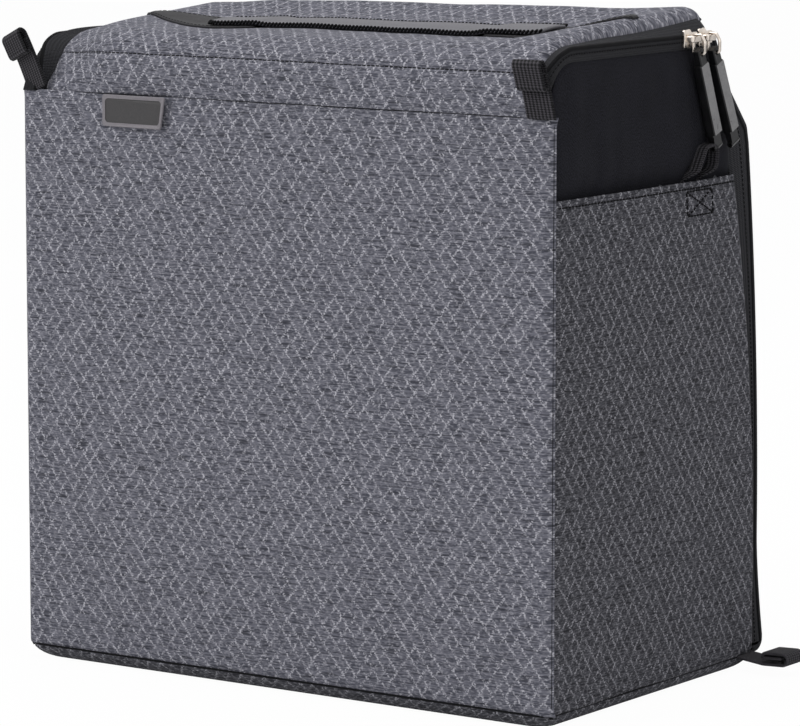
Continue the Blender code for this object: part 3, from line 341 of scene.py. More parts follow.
def soft_copy(name, nodes, voxel, mat, smooth=6, swell=0.0):
    """A pad in the shape of CAD nodes, with its edges rounded off and its faces swollen."""
    shape = bmesh.new()
    for node in nodes:
        shape.from_mesh(NODES[node].data)
    mesh = bpy.data.meshes.new(name)
    shape.to_mesh(mesh)
    shape.free()
    obj = bpy.data.objects.new(name, mesh)
    bpy.context.scene.collection.objects.link(obj)
    step = obj.modifiers.new("remesh", "REMESH")
    step.mode = "VOXEL"
    step.voxel_size = voxel
    step = obj.modifiers.new("smooth", "SMOOTH")
    step.iterations = smooth
    step.factor = 0.5
    if swell:
        step = obj.modifiers.new("swell", "DISPLACE")
        step.strength = swell
        step.mid_level = 0
    applied(obj)
    obj.data.materials.clear()
    obj.data.materials.append(mat)
    obj.data.polygons.foreach_set("use_smooth", [True] * len(obj.data.polygons))
    return obj


def on(obj, body, slot, *nodes):
    """The piece moves with a body, and stands for CAD nodes."""
    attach(obj, body)
    if nodes:
        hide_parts(*nodes)
    return obj


# Materials.


def link(tree, value, socket):
    if isinstance(value, bpy.types.NodeSocket):
        tree.links.new(value, socket)
    else:
        socket.default_value = value


def calc(tree, operation, *values):
    node = tree.nodes.new("ShaderNodeMath")
    node.operation = operation
    for value, socket in zip(values, node.inputs):
        link(tree, value, socket)
    return node.outputs[0]


def vector_of(tree, x, y, z=0.0):
    node = tree.nodes.new("ShaderNodeCombineXYZ")
    for value, socket in zip((x, y, z), node.inputs):
        link(tree, value, socket)
    return node.outputs[0]


def noise_of(tree, vector, scale, detail=2.0, roughness=0.5):
    node = tree.nodes.new("ShaderNodeTexNoise")
    link(tree, vector, node.inputs["Vector"])
    node.inputs["Scale"].default_value = scale
    node.inputs["Detail"].default_value = detail
    node.inputs["Roughness"].default_value = roughness
    return node.outputs["Fac"]


def span(tree, value, low, high, out_low=0.0, out_high=1.0):
    """Value stretched from low..high to out_low..out_high, and held inside."""
    node = tree.nodes.new("ShaderNodeMapRange")
    node.clamp = True
    for item, socket in zip((value, low, high, out_low, out_high), node.inputs):
        link(tree, item, socket)
    return node.outputs[0]


def mix(tree, share, first, second):
    node = tree.nodes.new("ShaderNodeMix")
    node.data_type = "RGBA"
    link(tree, share, node.inputs["Factor"])
    for value, socket in ((first, node.inputs["A"]), (second, node.inputs["B"])):
        if isinstance(value, tuple):
            value = (*value, 1)
        link(tree, value, [s for s in node.inputs if s.name == socket.name and s.type == "RGBA"][0])
    return node.outputs["Result"] if node.outputs["Result"].type == "RGBA" else node.outputs[2]


def linear(r, g, b):
    """A colour given in the 0 to 255 of a picture, as light."""
    shares = [v / 255 for v in (r, g, b)]
    return tuple(v / 12.92 if v < 0.04045 else ((v + 0.055) / 1.055) ** 2.4 for v in shares)


def shader(name, roughness, metallic=0.0, sheen=0.0, specular=0.5, coat=0.0):
    made = bpy.data.materials.new(name)
    made.use_nodes = True
    tree = made.node_tree
    bsdf = tree.nodes["Principled BSDF"]
    bsdf.inputs["Roughness"].default_value = roughness
    bsdf.inputs["Metallic"].default_value = metallic
    bsdf.inputs["Sheen Weight"].default_value = sheen
    bsdf.inputs["Sheen Roughness"].default_value = 0.5
    bsdf.inputs["Specular IOR Level"].default_value = specular
    bsdf.inputs["Coat Weight"].default_value = coat
    return made, tree, bsdf


def bump(tree, bsdf, height, distance, strength=1.0):
    node = tree.nodes.new("ShaderNodeBump")
    node.inputs["Strength"].default_value = strength
    node.inputs["Distance"].default_value = distance
    link(tree, height, node.inputs["Height"])
    link(tree, node.outputs[0], bsdf.inputs["Normal"])


def cloth_place(tree):
    """(u, v) on the flat cloth, in metres."""
    node = tree.nodes.new("ShaderNodeUVMap")
    node.uv_map = "cloth"
    parts = tree.nodes.new("ShaderNodeSeparateXYZ")
    link(tree, node.outputs[0], parts.inputs[0])
    return parts.outputs[0], parts.outputs[1]


def object_place(tree):
    node = tree.nodes.new("ShaderNodeTexCoord")
    parts = tree.nodes.new("ShaderNodeSeparateXYZ")
    link(tree, node.outputs["Object"], parts.inputs[0])
    return node.outputs["Object"], parts.outputs


LATTICE_WIDE, LATTICE_HIGH = 0.0071, 0.0093
COURSE = 0.00095


def lattice_cloth(name, dark, mid, light, strength=1.0):
    """Heather knit in fine level courses, with a broken diamond lattice of light threads."""
    made, tree, bsdf = shader(name, 0.95, sheen=0.02, specular=0.12)
    u, v = cloth_place(tree)

    def streaks(along, up, seed, detail=0.0):
        place = vector_of(tree, calc(tree, "MULTIPLY", u, along), calc(tree, "MULTIPLY", v, up), seed)
        return noise_of(tree, place, 1.0, detail, 0.5)

    course = calc(tree, "SNAP", v, COURSE)
    across, along = calc(tree, "MULTIPLY", u, 90.0), calc(tree, "MULTIPLY", course, 2900.0)
    step = noise_of(tree, vector_of(tree, across, along), 1.0, 0.0)
    bent = calc(tree, "ADD", u, calc(tree, "MULTIPLY", calc(tree, "SUBTRACT", step, 0.5), 0.0020))
    slow = noise_of(tree, vector_of(tree, u, v, 3.0), 26.0, 1.0)
    bent = calc(tree, "ADD", bent, calc(tree, "MULTIPLY", calc(tree, "SUBTRACT", slow, 0.5), 0.0030))
    a = calc(tree, "DIVIDE", bent, LATTICE_WIDE)
    b = calc(tree, "DIVIDE", course, LATTICE_HIGH)
    lines = []
    for rise, seed, low in (("ADD", 12.0, 0.34), ("SUBTRACT", 31.0, 0.40)):
        near = calc(tree, "PINGPONG", calc(tree, rise, a, b), 0.5)
        held = span(tree, streaks(170.0, 150.0, seed, 1.0), low, low + 0.20, 0.20, 1.0)
        lines.append(calc(tree, "MULTIPLY", span(tree, near, 0.03, 0.15, 1.0, 0.0), held))
    net = calc(tree, "MAXIMUM", *lines)
    speck = streaks(1000.0, 1250.0, 5.0)
    net = calc(tree, "MULTIPLY", net, span(tree, speck, 0.38, 0.62, 0.0, 1.0))
    net = calc(tree, "MULTIPLY", net, strength)
    streak = streaks(120.0, 1150.0, 0.0, 1.0)
    fine = streaks(500.0, 1300.0, 9.0)
    ground = mix(tree, span(tree, streak, 0.38, 0.60), dark, mid)
    glint = calc(tree, "MULTIPLY", span(tree, fine, 0.50, 0.72), 0.27 * strength)
    ground = mix(tree, glint, ground, light)
    gap = calc(tree, "MULTIPLY", span(tree, streaks(80.0, 1000.0, 17.0), 0.40, 0.28), 0.7)
    ground = mix(tree, gap, ground, tuple(0.45 * c for c in dark))
    link(tree, mix(tree, net, ground, light), bsdf.inputs["Base Color"])
    rise = calc(tree, "ADD", calc(tree, "MULTIPLY", streak, 0.8), calc(tree, "MULTIPLY", net, 0.5))
    bump(tree, bsdf, rise, 0.00030, 0.7)
    return made


def plain_cloth(name, dark, light, roughness=0.9, weave=1900.0, sheen=0.01):
    """Plain woven cloth with a fine even grain."""
    made, tree, bsdf = shader(name, roughness, sheen=sheen, specular=0.06)
    u, v = cloth_place(tree)
    warp = calc(tree, "SINE", calc(tree, "MULTIPLY", u, weave * 2))
    weft = calc(tree, "SINE", calc(tree, "MULTIPLY", v, weave * 2))
    grain = noise_of(tree, vector_of(tree, u, v), 1400.0, 2.0, 0.6)
    soft = noise_of(tree, vector_of(tree, u, v, 5.0), 60.0, 2.0, 0.5)
    tone = calc(tree, "ADD", calc(tree, "MULTIPLY", grain, 0.9), calc(tree, "MULTIPLY", soft, 0.1))
    link(tree, mix(tree, span(tree, tone, 0.36, 0.62), dark, light), bsdf.inputs["Base Color"])
    rise = calc(tree, "ADD", calc(tree, "MULTIPLY", calc(tree, "MULTIPLY", warp, weft), 0.3), grain)
    bump(tree, bsdf, rise, 0.00020, 0.7)
    return made


def ribbed_cloth(name, dark, light, pitch, cords=0.12, rough=0.8):
    """Tape or webbing with ribs: u runs along it and v across it."""
    made, tree, bsdf = shader(name, rough, sheen=0.02, specular=0.12)
    u, v = cloth_place(tree)
    rib = calc(tree, "SINE", calc(tree, "MULTIPLY", u, 2 * math.pi / pitch))
    cord = calc(tree, "SINE", calc(tree, "MULTIPLY", v, 2 * math.pi / (pitch * 1.8)))
    grain = noise_of(tree, vector_of(tree, u, v), 1800.0, 2.0, 0.6)
    tone = calc(tree, "ADD", calc(tree, "MULTIPLY", rib, 0.30), calc(tree, "MULTIPLY", cord, cords))
    tone = calc(tree, "ADD", tone, calc(tree, "MULTIPLY", grain, 0.9))
    link(tree, mix(tree, span(tree, tone, 0.15, 0.85), dark, light), bsdf.inputs["Base Color"])
    bump(tree, bsdf, calc(tree, "ADD", rib, calc(tree, "MULTIPLY", cord, 0.5)), 0.00022, 0.8)
    return made


def grained(name, dark, light, roughness, size, depth, coat=0.0, specular=0.5):
    """Moulded or coated material with a fine grain, placed by the object's own axes."""
    made, tree, bsdf = shader(name, roughness, specular=specular, coat=coat)
    where = object_place(tree)[0]
    fine = noise_of(tree, where, 1 / size, 3.0, 0.6)
    wide = noise_of(tree, where, 0.12 / size, 2.0, 0.5)
    tone = calc(tree, "ADD", calc(tree, "MULTIPLY", fine, 0.6), calc(tree, "MULTIPLY", wide, 0.4))
    link(tree, mix(tree, span(tree, tone, 0.35, 0.65), dark, light), bsdf.inputs["Base Color"])
    link(tree, span(tree, wide, 0.3, 0.7, roughness * 0.9, min(1, roughness * 1.1)), bsdf.inputs["Roughness"])
    bump(tree, bsdf, fine, depth, 0.6)
    return made


def plated(name, colour, roughness):
    made, tree, bsdf = shader(name, roughness, metallic=1.0)
    where = object_place(tree)[0]
    fine = noise_of(tree, where, 900.0, 2.0, 0.5)
    worn = noise_of(tree, where, 160.0, 2.0, 0.5)
    dull = tuple(0.82 * c for c in colour)
    link(tree, mix(tree, span(tree, worn, 0.40, 0.65), dull, colour), bsdf.inputs["Base Color"])
    link(tree, span(tree, worn, 0.35, 0.65, roughness * 0.8, roughness * 1.3), bsdf.inputs["Roughness"])
    bump(tree, bsdf, fine, 0.00004, 0.4)
    return made


CLOTH_FRONT = lattice_cloth(
    "outer_fabric", linear(68, 69, 78), linear(102, 102, 111), linear(182, 181, 188), 0.92)
# The outer fabric again, painted darker and with a fainter lattice: painted shade for the sides and the base
# edge, which turn away from the lamps.
CLOTH_SIDE_PAINTED_SHADE = lattice_cloth(
    "pocket_fabric_painted_shade", linear(41, 41, 46), linear(66, 66, 71), linear(158, 157, 163), 0.80)
BLACK = plain_cloth("black_fabric", linear(11, 11, 14), linear(34, 34, 40), sheen=0.02)
TAPE_CLOTH = ribbed_cloth("zip_tape", linear(22, 22, 24), linear(56, 56, 60), 0.0009, 0.10)
WEBBING = ribbed_cloth("webbing", linear(19, 19, 21), linear(68, 66, 70), 0.0011, 0.42)
LINING = plain_cloth("lining", linear(58, 59, 63), linear(88, 89, 94), 0.95, 1300.0, 0.3)
THREAD = grained("thread", linear(9, 9, 11), linear(20, 20, 22), 0.8, 0.0004, 0.00004, specular=0.1)
NICKEL = plated("nickel", linear(222, 212, 202), 0.26)
RUBBER = grained("moulded_rubber", linear(9, 9, 10), linear(18, 18, 20), 0.42, 0.0006, 0.00005, specular=0.3)
PULL_FACE = grained("pull_face", linear(92, 91, 92), linear(112, 111, 111), 0.30, 0.0009, 0.00003, 0.3)
STRAP = grained(
    "handle_strap", linear(84, 83, 88), linear(106, 105, 109), 0.66, 0.0010, 0.00010, specular=0.3)
PATCH = grained(
    "handle_patch", linear(36, 36, 38), linear(54, 53, 55), 0.62, 0.0010, 0.00010, specular=0.12)
BADGE = grained("label_rubber", linear(104, 100, 105), linear(118, 114, 118), 0.55, 0.0009, 0.00005)
BADGE_FIELD = grained("label_field", linear(42, 41, 42), linear(54, 52, 53), 0.6, 0.0009, 0.00005)


# The covers of the body.


def round_in(z, radius=CORNER_R):
    """How far the body draws in where it rounds under at its base."""
    if z >= radius:
        return 0.0
    return radius - math.sqrt(max(0, radius ** 2 - (radius - z) ** 2))


def corner(s, flat, radius):
    """(x, y) on the front's outline: s runs across it from the middle and round a corner."""
    over = max(0.0, abs(s) - flat)
    turn = min(over / radius, math.pi / 2)
    x = min(abs(s), flat) + radius * math.sin(turn)
    return math.copysign(x, s), FRONT + radius * (1 - math.cos(turn)), turn


def front_point(s, z):
    flat = HALF - ROLL
    x, y, turn = corner(s, flat, ROLL)
    across = max(0, 1 - (abs(s) / flat) ** 4)
    up = max(0, 1 - (abs(z - 0.147) / 0.139) ** 5)
    soft = ripple(s, 0, z, 0.055) * 0.0006 + ripple(s, 0, z, 0.022, 3) * 0.00015
    out = PUFF * across * up + soft * min(1, across + 0.2) * min(1, up + 0.1)
    end = flat + ROLL * SEAM_TURN
    sink = dip(end - abs(s), 0.0014, SEAM_DIP) + dip(SEAM_Z - z, 0.0016, SEAM_DIP)
    sink += dip(z - RIM_Z, 0.0016, SEAM_DIP)
    out -= sink
    inset = round_in(z)
    x -= math.copysign(inset, s) * min(1, abs(s) / HALF)
    return (x + math.copysign(out * math.sin(turn), s), y + inset - out * math.cos(turn), z)


def front_cover():
    end = HALF - ROLL + ROLL * SEAM_TURN
    flat = 0.150
    middle = places(-flat, flat, 0.0028)[1:-1]
    across = np.concatenate((places(-end, -flat, 0.0012), middle, places(flat, end, 0.0012)))
    levels = np.concatenate((places(RIM_Z, 0.020, 0.0014), places(0.020, SEAM_Z, 0.0028)[1:]))
    rows = [[front_point(s, z) for s in across] for z in levels]
    uv = np.array([[(s, z) for s in across] for z in levels])
    on(sheet("front_panel", rows, CLOTH, CLOTH_FRONT, uv), "shell", "outer_fabric", "front_cover")


def pocket_point(share, z, sign):
    """A place on a side pocket: share runs from the front seam to the rear edge."""
    start = FRONT + SEAM_BACK + 0.0002
    rear = pocket_rear(z)
    if z < REAR_CORNER_R:
        rear -= round_in(z, REAR_CORNER_R)
    inset = round_in(z)
    y = start + inset * (1 - share) + (rear - start) * share
    run = (y - start)
    out = 0.0006 + 0.0014 * math.sin(math.pi * min(1, max(0, share))) * min(1, (z - RIM_Z) / 0.06)
    out += 0.0012 * math.sin(math.pi * share) * max(0, (z - 0.20) / 0.0475) ** 2
    out += ripple(y, z, 0, 0.045, 5) * 0.0005
    out -= dip(run, 0.0016, 0.0012) + dip(z - RIM_Z, 0.0016, SEAM_DIP) + dip(z - HEM_Z, 0.0007, 0.0004)
    edge = max(0, 1 - (rear - y) / 0.003)
    out -= 0.0012 * edge ** 2
    ahead = max(0, FRONT + ROLL - y)
    turned = ROLL - math.sqrt(ROLL ** 2 - ahead ** 2)
    return (sign * (HALF - inset - turned + out), y, z)


def side_pockets():
    for side, sign in (("right", 1), ("left", -1)):
        low, high = 0.020, 0.240
        levels = np.concatenate((
            places(RIM_Z, low, 0.0014),
            places(low, high, 0.0030)[1:-1],
            places(high, POCKET_TOP, 0.0007, 0.0003),
        ))
        near, far = 0.03, 0.975
        middle, edge = np.linspace(near, far, 58)[1:], np.linspace(far, 1, 6)[1:]
        shares = np.concatenate((np.linspace(0, near, 9), middle, edge))
        rows = [[pocket_point(t, z, sign) for t in shares] for z in levels]
        uv = np.array([[(point[1], z) for point in row] for row, z in zip(rows, levels)])
        # The pockets take the darker copy of the outer fabric, which is painted shade on the sides.
        piece = sheet("pocket_" + side, rows, CLOTH, CLOTH_SIDE_PAINTED_SHADE, uv, flip=sign < 0)
        on(piece, "shell", "outer_fabric", "side_pocket_" + side)
        lines = [[pocket_point(t, HEM_Z, sign) for t in np.linspace(0.012, 0.99, 80)]]
        low, high, near, far = 0.2312, 0.2432, 0.690, 0.840
        box = [(near, low), (near, high), (far, high), (far, low)]
        crossed = [(box[0], box[2]), (box[1], box[3])]
        for (t0, z0), (t1, z1) in [*zip(box, box[1:] + box[:1]), *crossed]:
            steps = [(t0 + (t1 - t0) * k, z0 + (z1 - z0) * k) for k in np.linspace(0, 1, 9)]
            lines.append([pocket_point(t, z, sign) for t, z in steps])
        lines = [[(x + sign * 0.0003, y, z) for x, y, z in line] for line in lines]
        seams = stitches("pocket_stitches_" + side, lines, THREAD, 0.0026, 0.0020, 0.00042)
        on(seams, "shell", "outer_fabric")


def base_ring(z, extra=0.0, low=0.0):
    """The outline of the base at a height, drawn in by extra once it is flat."""
    front_in = round_in(z) + extra
    rear_in = round_in(z, REAR_CORNER_R) + extra
    half = HALF - front_in
    near, far = FRONT + front_in, FRONT + BASE_BACK - rear_in
    r = ROLL + front_in * 0.5
    corners = [(-half, near, r), (half, near, r), (half, far, r), (-half, far, r)]
    return [(x, y, z + low) for x, y in rounded(corners, 8)]


def base_cover():
    """The turned-under edge of the base, all the way round, and its flat underside."""
    rings = []
    for share in np.linspace(0, 1, 8):
        turn = math.asin(1 - RIM_Z / CORNER_R) * (1 - share) + share * math.pi / 2
        rings.append(base_ring(CORNER_R * (1 - math.sin(turn))))
    rings += [base_ring(0, extra) for extra in (0.004, 0.03, 0.06, 0.0780)]
    rings[0] = [(x * 0.9955, y * 0.9955, z) for x, y, z in rings[0]]
    points = np.array(rings)
    points = np.concatenate((points, points[:, :1]), 1)
    run = np.concatenate(([0], np.cumsum(np.linalg.norm(np.diff(points[0], axis=0), axis=1))))
    down = np.concatenate(([0], np.cumsum(np.linalg.norm(np.diff(points[:, 10], axis=0), axis=1))))
    uv = np.stack(np.meshgrid(run, down), 2)
    # The darker copy of the outer fabric here is painted shade for the band under the rim.
    piece = sheet("base_edge", points, CLOTH, CLOTH_SIDE_PAINTED_SHADE, uv, flip=True)
    on(piece, "shell", "outer_fabric", "base_cover")


def side_cover_edge():
    """(y, z) along the rounded top of a side wall, from front to rear."""
    top = PANEL_TOP
    rear = wall_rear(top)
    inset = 0.0016
    corners = [(FRONT + inset, top, WALL_R_FRONT - inset), (rear, top, WALL_R_REAR)]
    line = rounded([(FRONT + inset, 0.27, 0), *corners, (wall_rear(0.28), 0.28, 0)], 12)[1:-1]
    return resampled(line, 0.0028)


def side_covers():
    """The plain black upper walls, softly padded."""
    line = side_cover_edge()
    run = np.concatenate(([0], np.cumsum(np.linalg.norm(np.diff(line, axis=0), axis=1))))
    share = run / run[-1]
    low = POCKET_TOP - 0.0075
    for side, sign in (("right", 1), ("left", -1)):
        rows = []
        for up in places(0, 1, 0.05, 0.02):
            row = []
            for t, (y1, z1) in zip(share, line):
                y0 = FRONT + 0.0016 + (wall_rear(low) - FRONT - 0.0016) * t
                y, z = y0 + (y1 - y0) * up, low + (z1 - low) * up
                rim = min((1 - up) * 0.06, (y - FRONT - 0.0016), wall_rear(z) - y)
                pad = 1 - math.exp(-max(0, rim) / 0.0045)
                high = float(smooth(z, POCKET_TOP - 0.001, POCKET_TOP + 0.012))
                out = (0.0014 + 0.0020 * pad) * high + ripple(y, z, 0, 0.03, 8) * 0.0004 * pad
                out += ripple(y, z / 6, 0, 0.010, 2) * 0.0006 * pad
                row.append((sign * (0.1532 + out), y, z))
            rows.append(row)
        piece = sheet("upper_wall_" + side, settled(rows, SUNK_SIDE), CLOTH, BLACK, flip=sign < 0)
        on(piece, "shell", "black_fabric", "side_cover_" + side)


def seams():
    """Dark cords in the sewn grooves at the front corners and round the base: the seam line and painted shade
    in the groove.
    """
    for side, sign in (("right", 1), ("left", -1)):
        line = []
        for z in places(RIM_Z - 0.001, SEAM_Z + 0.0008, 0.004):
            x = HALF - ROLL + ROLL * math.sin(SEAM_TURN) - 0.0003 - round_in(z)
            line.append((sign * x, FRONT + SEAM_BACK + 0.0005 + round_in(z), z))
        on(tube("corner_seam_and_shade_" + side, line, 0.0010, THREAD, sides=6, up=(0, 1, 0)), "shell", "outer_fabric")
    ring = base_ring(RIM_Z, 0.0006)
    line = resampled(ring + ring[:1], TUBE_STEP)[:-1]
    on(tube("base_seam_and_shade", line, 0.0005, THREAD, closed=True, sides=6), "shell", "outer_fabric")


front_cover()
side_pockets()
base_cover()
side_covers()
seams()


# The zips.


def door_line(bottom, foot=(), step=0.004):
    """(y, z) of the door's outer face, from its top edge down to a height, and then its foot."""
    levels = np.arange(bottom, DOOR_SHOULDER_Z, step)[::-1]
    down = [(door_outer(z), z, 0) for z in [DOOR_SHOULDER_Z, *levels]]
    slant = [(FRONT + 0.1462, 0.3175, 0), (FRONT + 0.1625, 0.2880, 0), (FRONT + 0.1780, 0.2705, 0.006)]
    return rounded([*slant, *down, *foot])


DOOR_FOOT = ((door_outer(DOOR_TURN_Z), DOOR_FOOT_Z, DOOR_TURN_R), (FRONT + DOOR_FOOT_Y, DOOR_FOOT_Z, 0))


def coil_line():
    rear = offset_line(door_line(ZIP_END_Z), ZIP_IN)
    (y0, z0), (y1, z1) = rear[:2]
    turn = y0 + (y1 - y0) * (ZIP_Z - z0) / (z1 - z0)
    down = [(y, z, 0) for y, z in rear[1:]]
    return rounded([(FRONT + WALL_R_FRONT, ZIP_Z, 0), (turn, ZIP_Z, ZIP_R), *down])


def wall_edge_line():
    rear = offset_line(door_line(ZIP_END_Z), ZIP_IN)
    lower = [(wall_rear(point[1]) + 0.0003, point[1], 0) for point in rear[1:]]
    top = PANEL_TOP + 0.0003
    return rounded([(FRONT + WALL_R_FRONT, top, 0), (wall_rear(top), top, WALL_R_REAR), *lower])


def front_rails(sign, steps=14):
    """Rails of the zip round the front corner, from the seam to the top: wall, coil and lid."""
    rails, shares = ([], [], []), []
    low = SEAM_Z - 0.0004
    height = LID_TOP - LID_R - SEAM_Z
    for share in [-1, *np.linspace(0, 1, steps)]:
        turn = max(0, share) * math.pi / 2
        start = share < 0
        back, rise = 1 - math.cos(turn), 1 - math.sin(turn)
        outer = low if start else PANEL_TOP + 0.0003 - WALL_R_FRONT * rise
        inner = low if start else ZIP_Z - ZIP_ARC_R * rise
        rails[0].append((ZIP_X, FRONT + WALL_R_FRONT * back, outer))
        rails[1].append((ZIP_X - ZIP_FRONT_IN * rise, FRONT + ZIP_ARC_R * back, inner))
        along = 0.0004 if start else height + LID_R * turn
        shares.append(along / (height + LID_R * math.pi / 2))
        rails[2].append(under_edge(sign, shares[-1]))
    return *rails, shares


def under_edge(sign, share):
    """Where the zip tape meets the lid's rolled edge, on the side of the sign, with X as on the right."""
    x, y, z = lid_point(sign, share)
    return abs(x) - 0.0012, y, z + 0.0006 * min(1, share)


def strip_between(name, first, second, sign, body, slot, *nodes, bulge=0.0005, mat=None, wide=7, lap=None):
    """A tape between two rails of points, standing slightly proud of them."""
    rows = []
    for a, b in zip(first, second):
        a, b = np.array(a), np.array(b)
        row = []
        for share in np.linspace(0, 1, wide):
            p = a + (b - a) * share
            p = p + np.array((1, 0, 0)) * bulge * 4 * share * (1 - share)
            row.append((sign * p[0], p[1], p[2]))
        rows.append(row)
    points = np.array(rows).transpose(1, 0, 2)
    piece = sheet(name, points, TAPE, mat or TAPE_CLOTH, flip=sign > 0)
    return on(piece, body, slot, *nodes)


def toward(here, there, distance):
    step = Vector(there) - Vector(here)
    return tuple(Vector(here) + step.normalized() * distance)


def sunk(rail, sign):
    """A rail of the zip, on the left lowered with the soft corner there."""
    if sign > 0:
        return rail
    return [(-x, y, z) for x, y, z in settled([(-x, y, z) for x, y, z in rail], SUNK_SIDE)]


def zips():
    for side, sign in (("right", 1), ("left", -1)):
        wall, coil, top, shares = front_rails(sign)
        wall_side = sunk(wall + [(ZIP_X, y, z) for y, z in wall_edge_line()[1:]], sign)
        coil_side = sunk(coil + [(ZIP_X, y, z) for y, z in coil_line()[1:]], sign)
        coil = sunk(coil, sign)
        body = [toward(c, w, 0.0005) for w, c in zip(wall_side, coil_side)]
        tucked = [toward(w, c, -0.0012) for w, c in zip(wall_side, coil_side)]
        tucked = [(x - 0.0012, y, z) for x, y, z in tucked]
        fold = next(i for i, share in enumerate(shares) if share > fold_share())
        inner = [toward(c, t, 0.0005) for c, t in zip(coil, top)]
        at = (fold_share() - shares[fold - 1]) / (shares[fold] - shares[fold - 1])
        cut = [tuple(Vector(rail[fold - 1]).lerp(Vector(rail[fold]), at)) for rail in (inner, top)]
        lid_inner, lid_outer = [cut[0]] + inner[fold:], [cut[1]] + top[fold:]
        reach = coil_line()[1][0]
        for share in np.linspace(0, 1, 30)[1:]:
            y = FRONT + LID_R + (LID_BACK - LID_R) * share
            lid_inner += sunk([(ZIP_X, min(y, reach), ZIP_Z + 0.0005)], sign)
            lid_outer.append(under_edge(sign, 1 + share))
        strip_between("tape_body_" + side, tucked, body, sign, "shell", "zip_tape", "zip_tape_body_" + side)
        strip_between("tape_band_" + side, inner[:fold] + [cut[0]], top[:fold] + [cut[1]], sign,
                      "lid_band", "zip_tape", "zip_tape_band_" + side)
        strip_between("tape_lid_" + side, lid_inner, lid_outer, sign,
                      "lid", "zip_tape", "zip_tape_lid_" + side)
        door_tape(side, sign)
        coil_points = [(sign * (x + 0.0003), y, z) for x, y, z in coil_side]
        on(tube("coil_" + side, resampled(coil_points, 0.002), 0.0011, THREAD, sides=6, up=(1, 0, 0)),
           "shell", "zip_tape", "zip_coil_" + side)
        rail = [Vector(p).lerp(Vector(q), 0.62) for p, q in zip(wall_side, body)][2:]
        line = [(sign * (p.x + 0.0009), p.y, p.z) for p in rail]
        on(stitches("zip_stitches_" + side, [line], THREAD, 0.0022, 0.0014, 0.00034), "shell", "zip_tape")


def door_tape(side, sign):
    """The tape round the door's edge, turned over it, down to the door's foot."""
    line = door_line(DOOR_TURN_Z, DOOR_FOOT)
    inner_line = offset_line(line, ZIP_IN - 0.0005)
    rows = []
    for (y0, z0), (y1, z1) in zip(inner_line, line):
        away = Vector((y1 - y0, z1 - z0)).normalized()
        row = [(ZIP_X, y0, z0), (ZIP_X + 0.0002, (y0 + y1) / 2, (z0 + z1) / 2)]
        for turn in np.linspace(0, math.pi / 2, 5):
            r = 0.0018
            out = 0.0018 * math.sin(turn)
            row.append((ZIP_X - r * (1 - math.cos(turn)), y1 + away.x * (out - r), z1 + away.y * (out - r)))
        row.append((DOOR_HALF - 0.003, y1 + away.x * 0.0001, z1 + away.y * 0.0001))
        rows.append([(sign * x, y, z) for x, y, z in row])
    points = settled(rows, SUNK_SIDE).transpose(1, 0, 2)
    piece = sheet("tape_door_" + side, points, TAPE, TAPE_CLOTH, flip=sign > 0)
    on(piece, "door", "zip_tape", "zip_tape_door_" + side)


# The lid.


def lid_line(share):
    """(y, z, half width, angle of the outward normal) of the lid's outer face: 0 is the seam, 2 the back."""
    centre_y, centre_z = FRONT + LID_R, LID_TOP - LID_R
    if share <= 1:
        height = centre_z - SEAM_Z
        along = share * (height + LID_R * math.pi / 2)
        if along < height:
            return FRONT, SEAM_Z + along, BAND_HALF, 0.0
        angle = (along - height) / LID_R
        wide = BAND_HALF + (LID_HALF - BAND_HALF) * math.sin(angle)
        return centre_y - LID_R * math.cos(angle), centre_z + LID_R * math.sin(angle), wide, angle
    back = share - 1
    return centre_y + (FRONT + LID_BACK - centre_y) * back, LID_TOP + LID_RISE * back, LID_HALF, math.pi / 2


def fold_share():
    centre_z = LID_TOP - LID_R
    height = centre_z - SEAM_Z
    angle = math.asin((FOLD_Z - centre_z) / LID_R)
    return (height + angle * LID_R) / (height + LID_R * math.pi / 2)


# How the top of the lid sits against its plain form: by depth from the front, and across its width.
TOP_DEPTHS = (0.006, 0.018, 0.026, 0.034, 0.054, 0.080, 0.105, 0.125, 0.142)
TOP_DROPS = (0, -0.0024, -0.0045, -0.0070, -0.0100, -0.0128, -0.0126, -0.0086, -0.0014)
LEAN_PLACES = (-0.150, -0.127, -0.099, -0.035, 0.018, 0.054, 0.089, 0.120, 0.150)
LEANS = (-0.0046, -0.0036, -0.0006, 0.0001, 0, 0.0007, 0.0024, 0.0030, 0.0034)


def crown(x, back):
    along = 0.002 * back + 0.004 * math.sin(math.pi * max(0, back))
    return max(0, along) * (1 - (x / LID_HALF) ** 2)


def lid_shift(x, y, z):
    """How much higher the soft lid lies at a place than its plain form."""
    depth = y - FRONT
    lean = np.interp(x, LEAN_PLACES, LEANS)
    middle = 1 - smooth(np.abs(x), 0.090, 0.150)
    drop = np.interp(depth, TOP_DEPTHS, TOP_DROPS) * middle
    full = np.where(np.asarray(x) < 0, 0.100, 0.060)
    return (lean * smooth(depth, 0.0, full) + drop) * smooth(z, 0.296, 0.314)


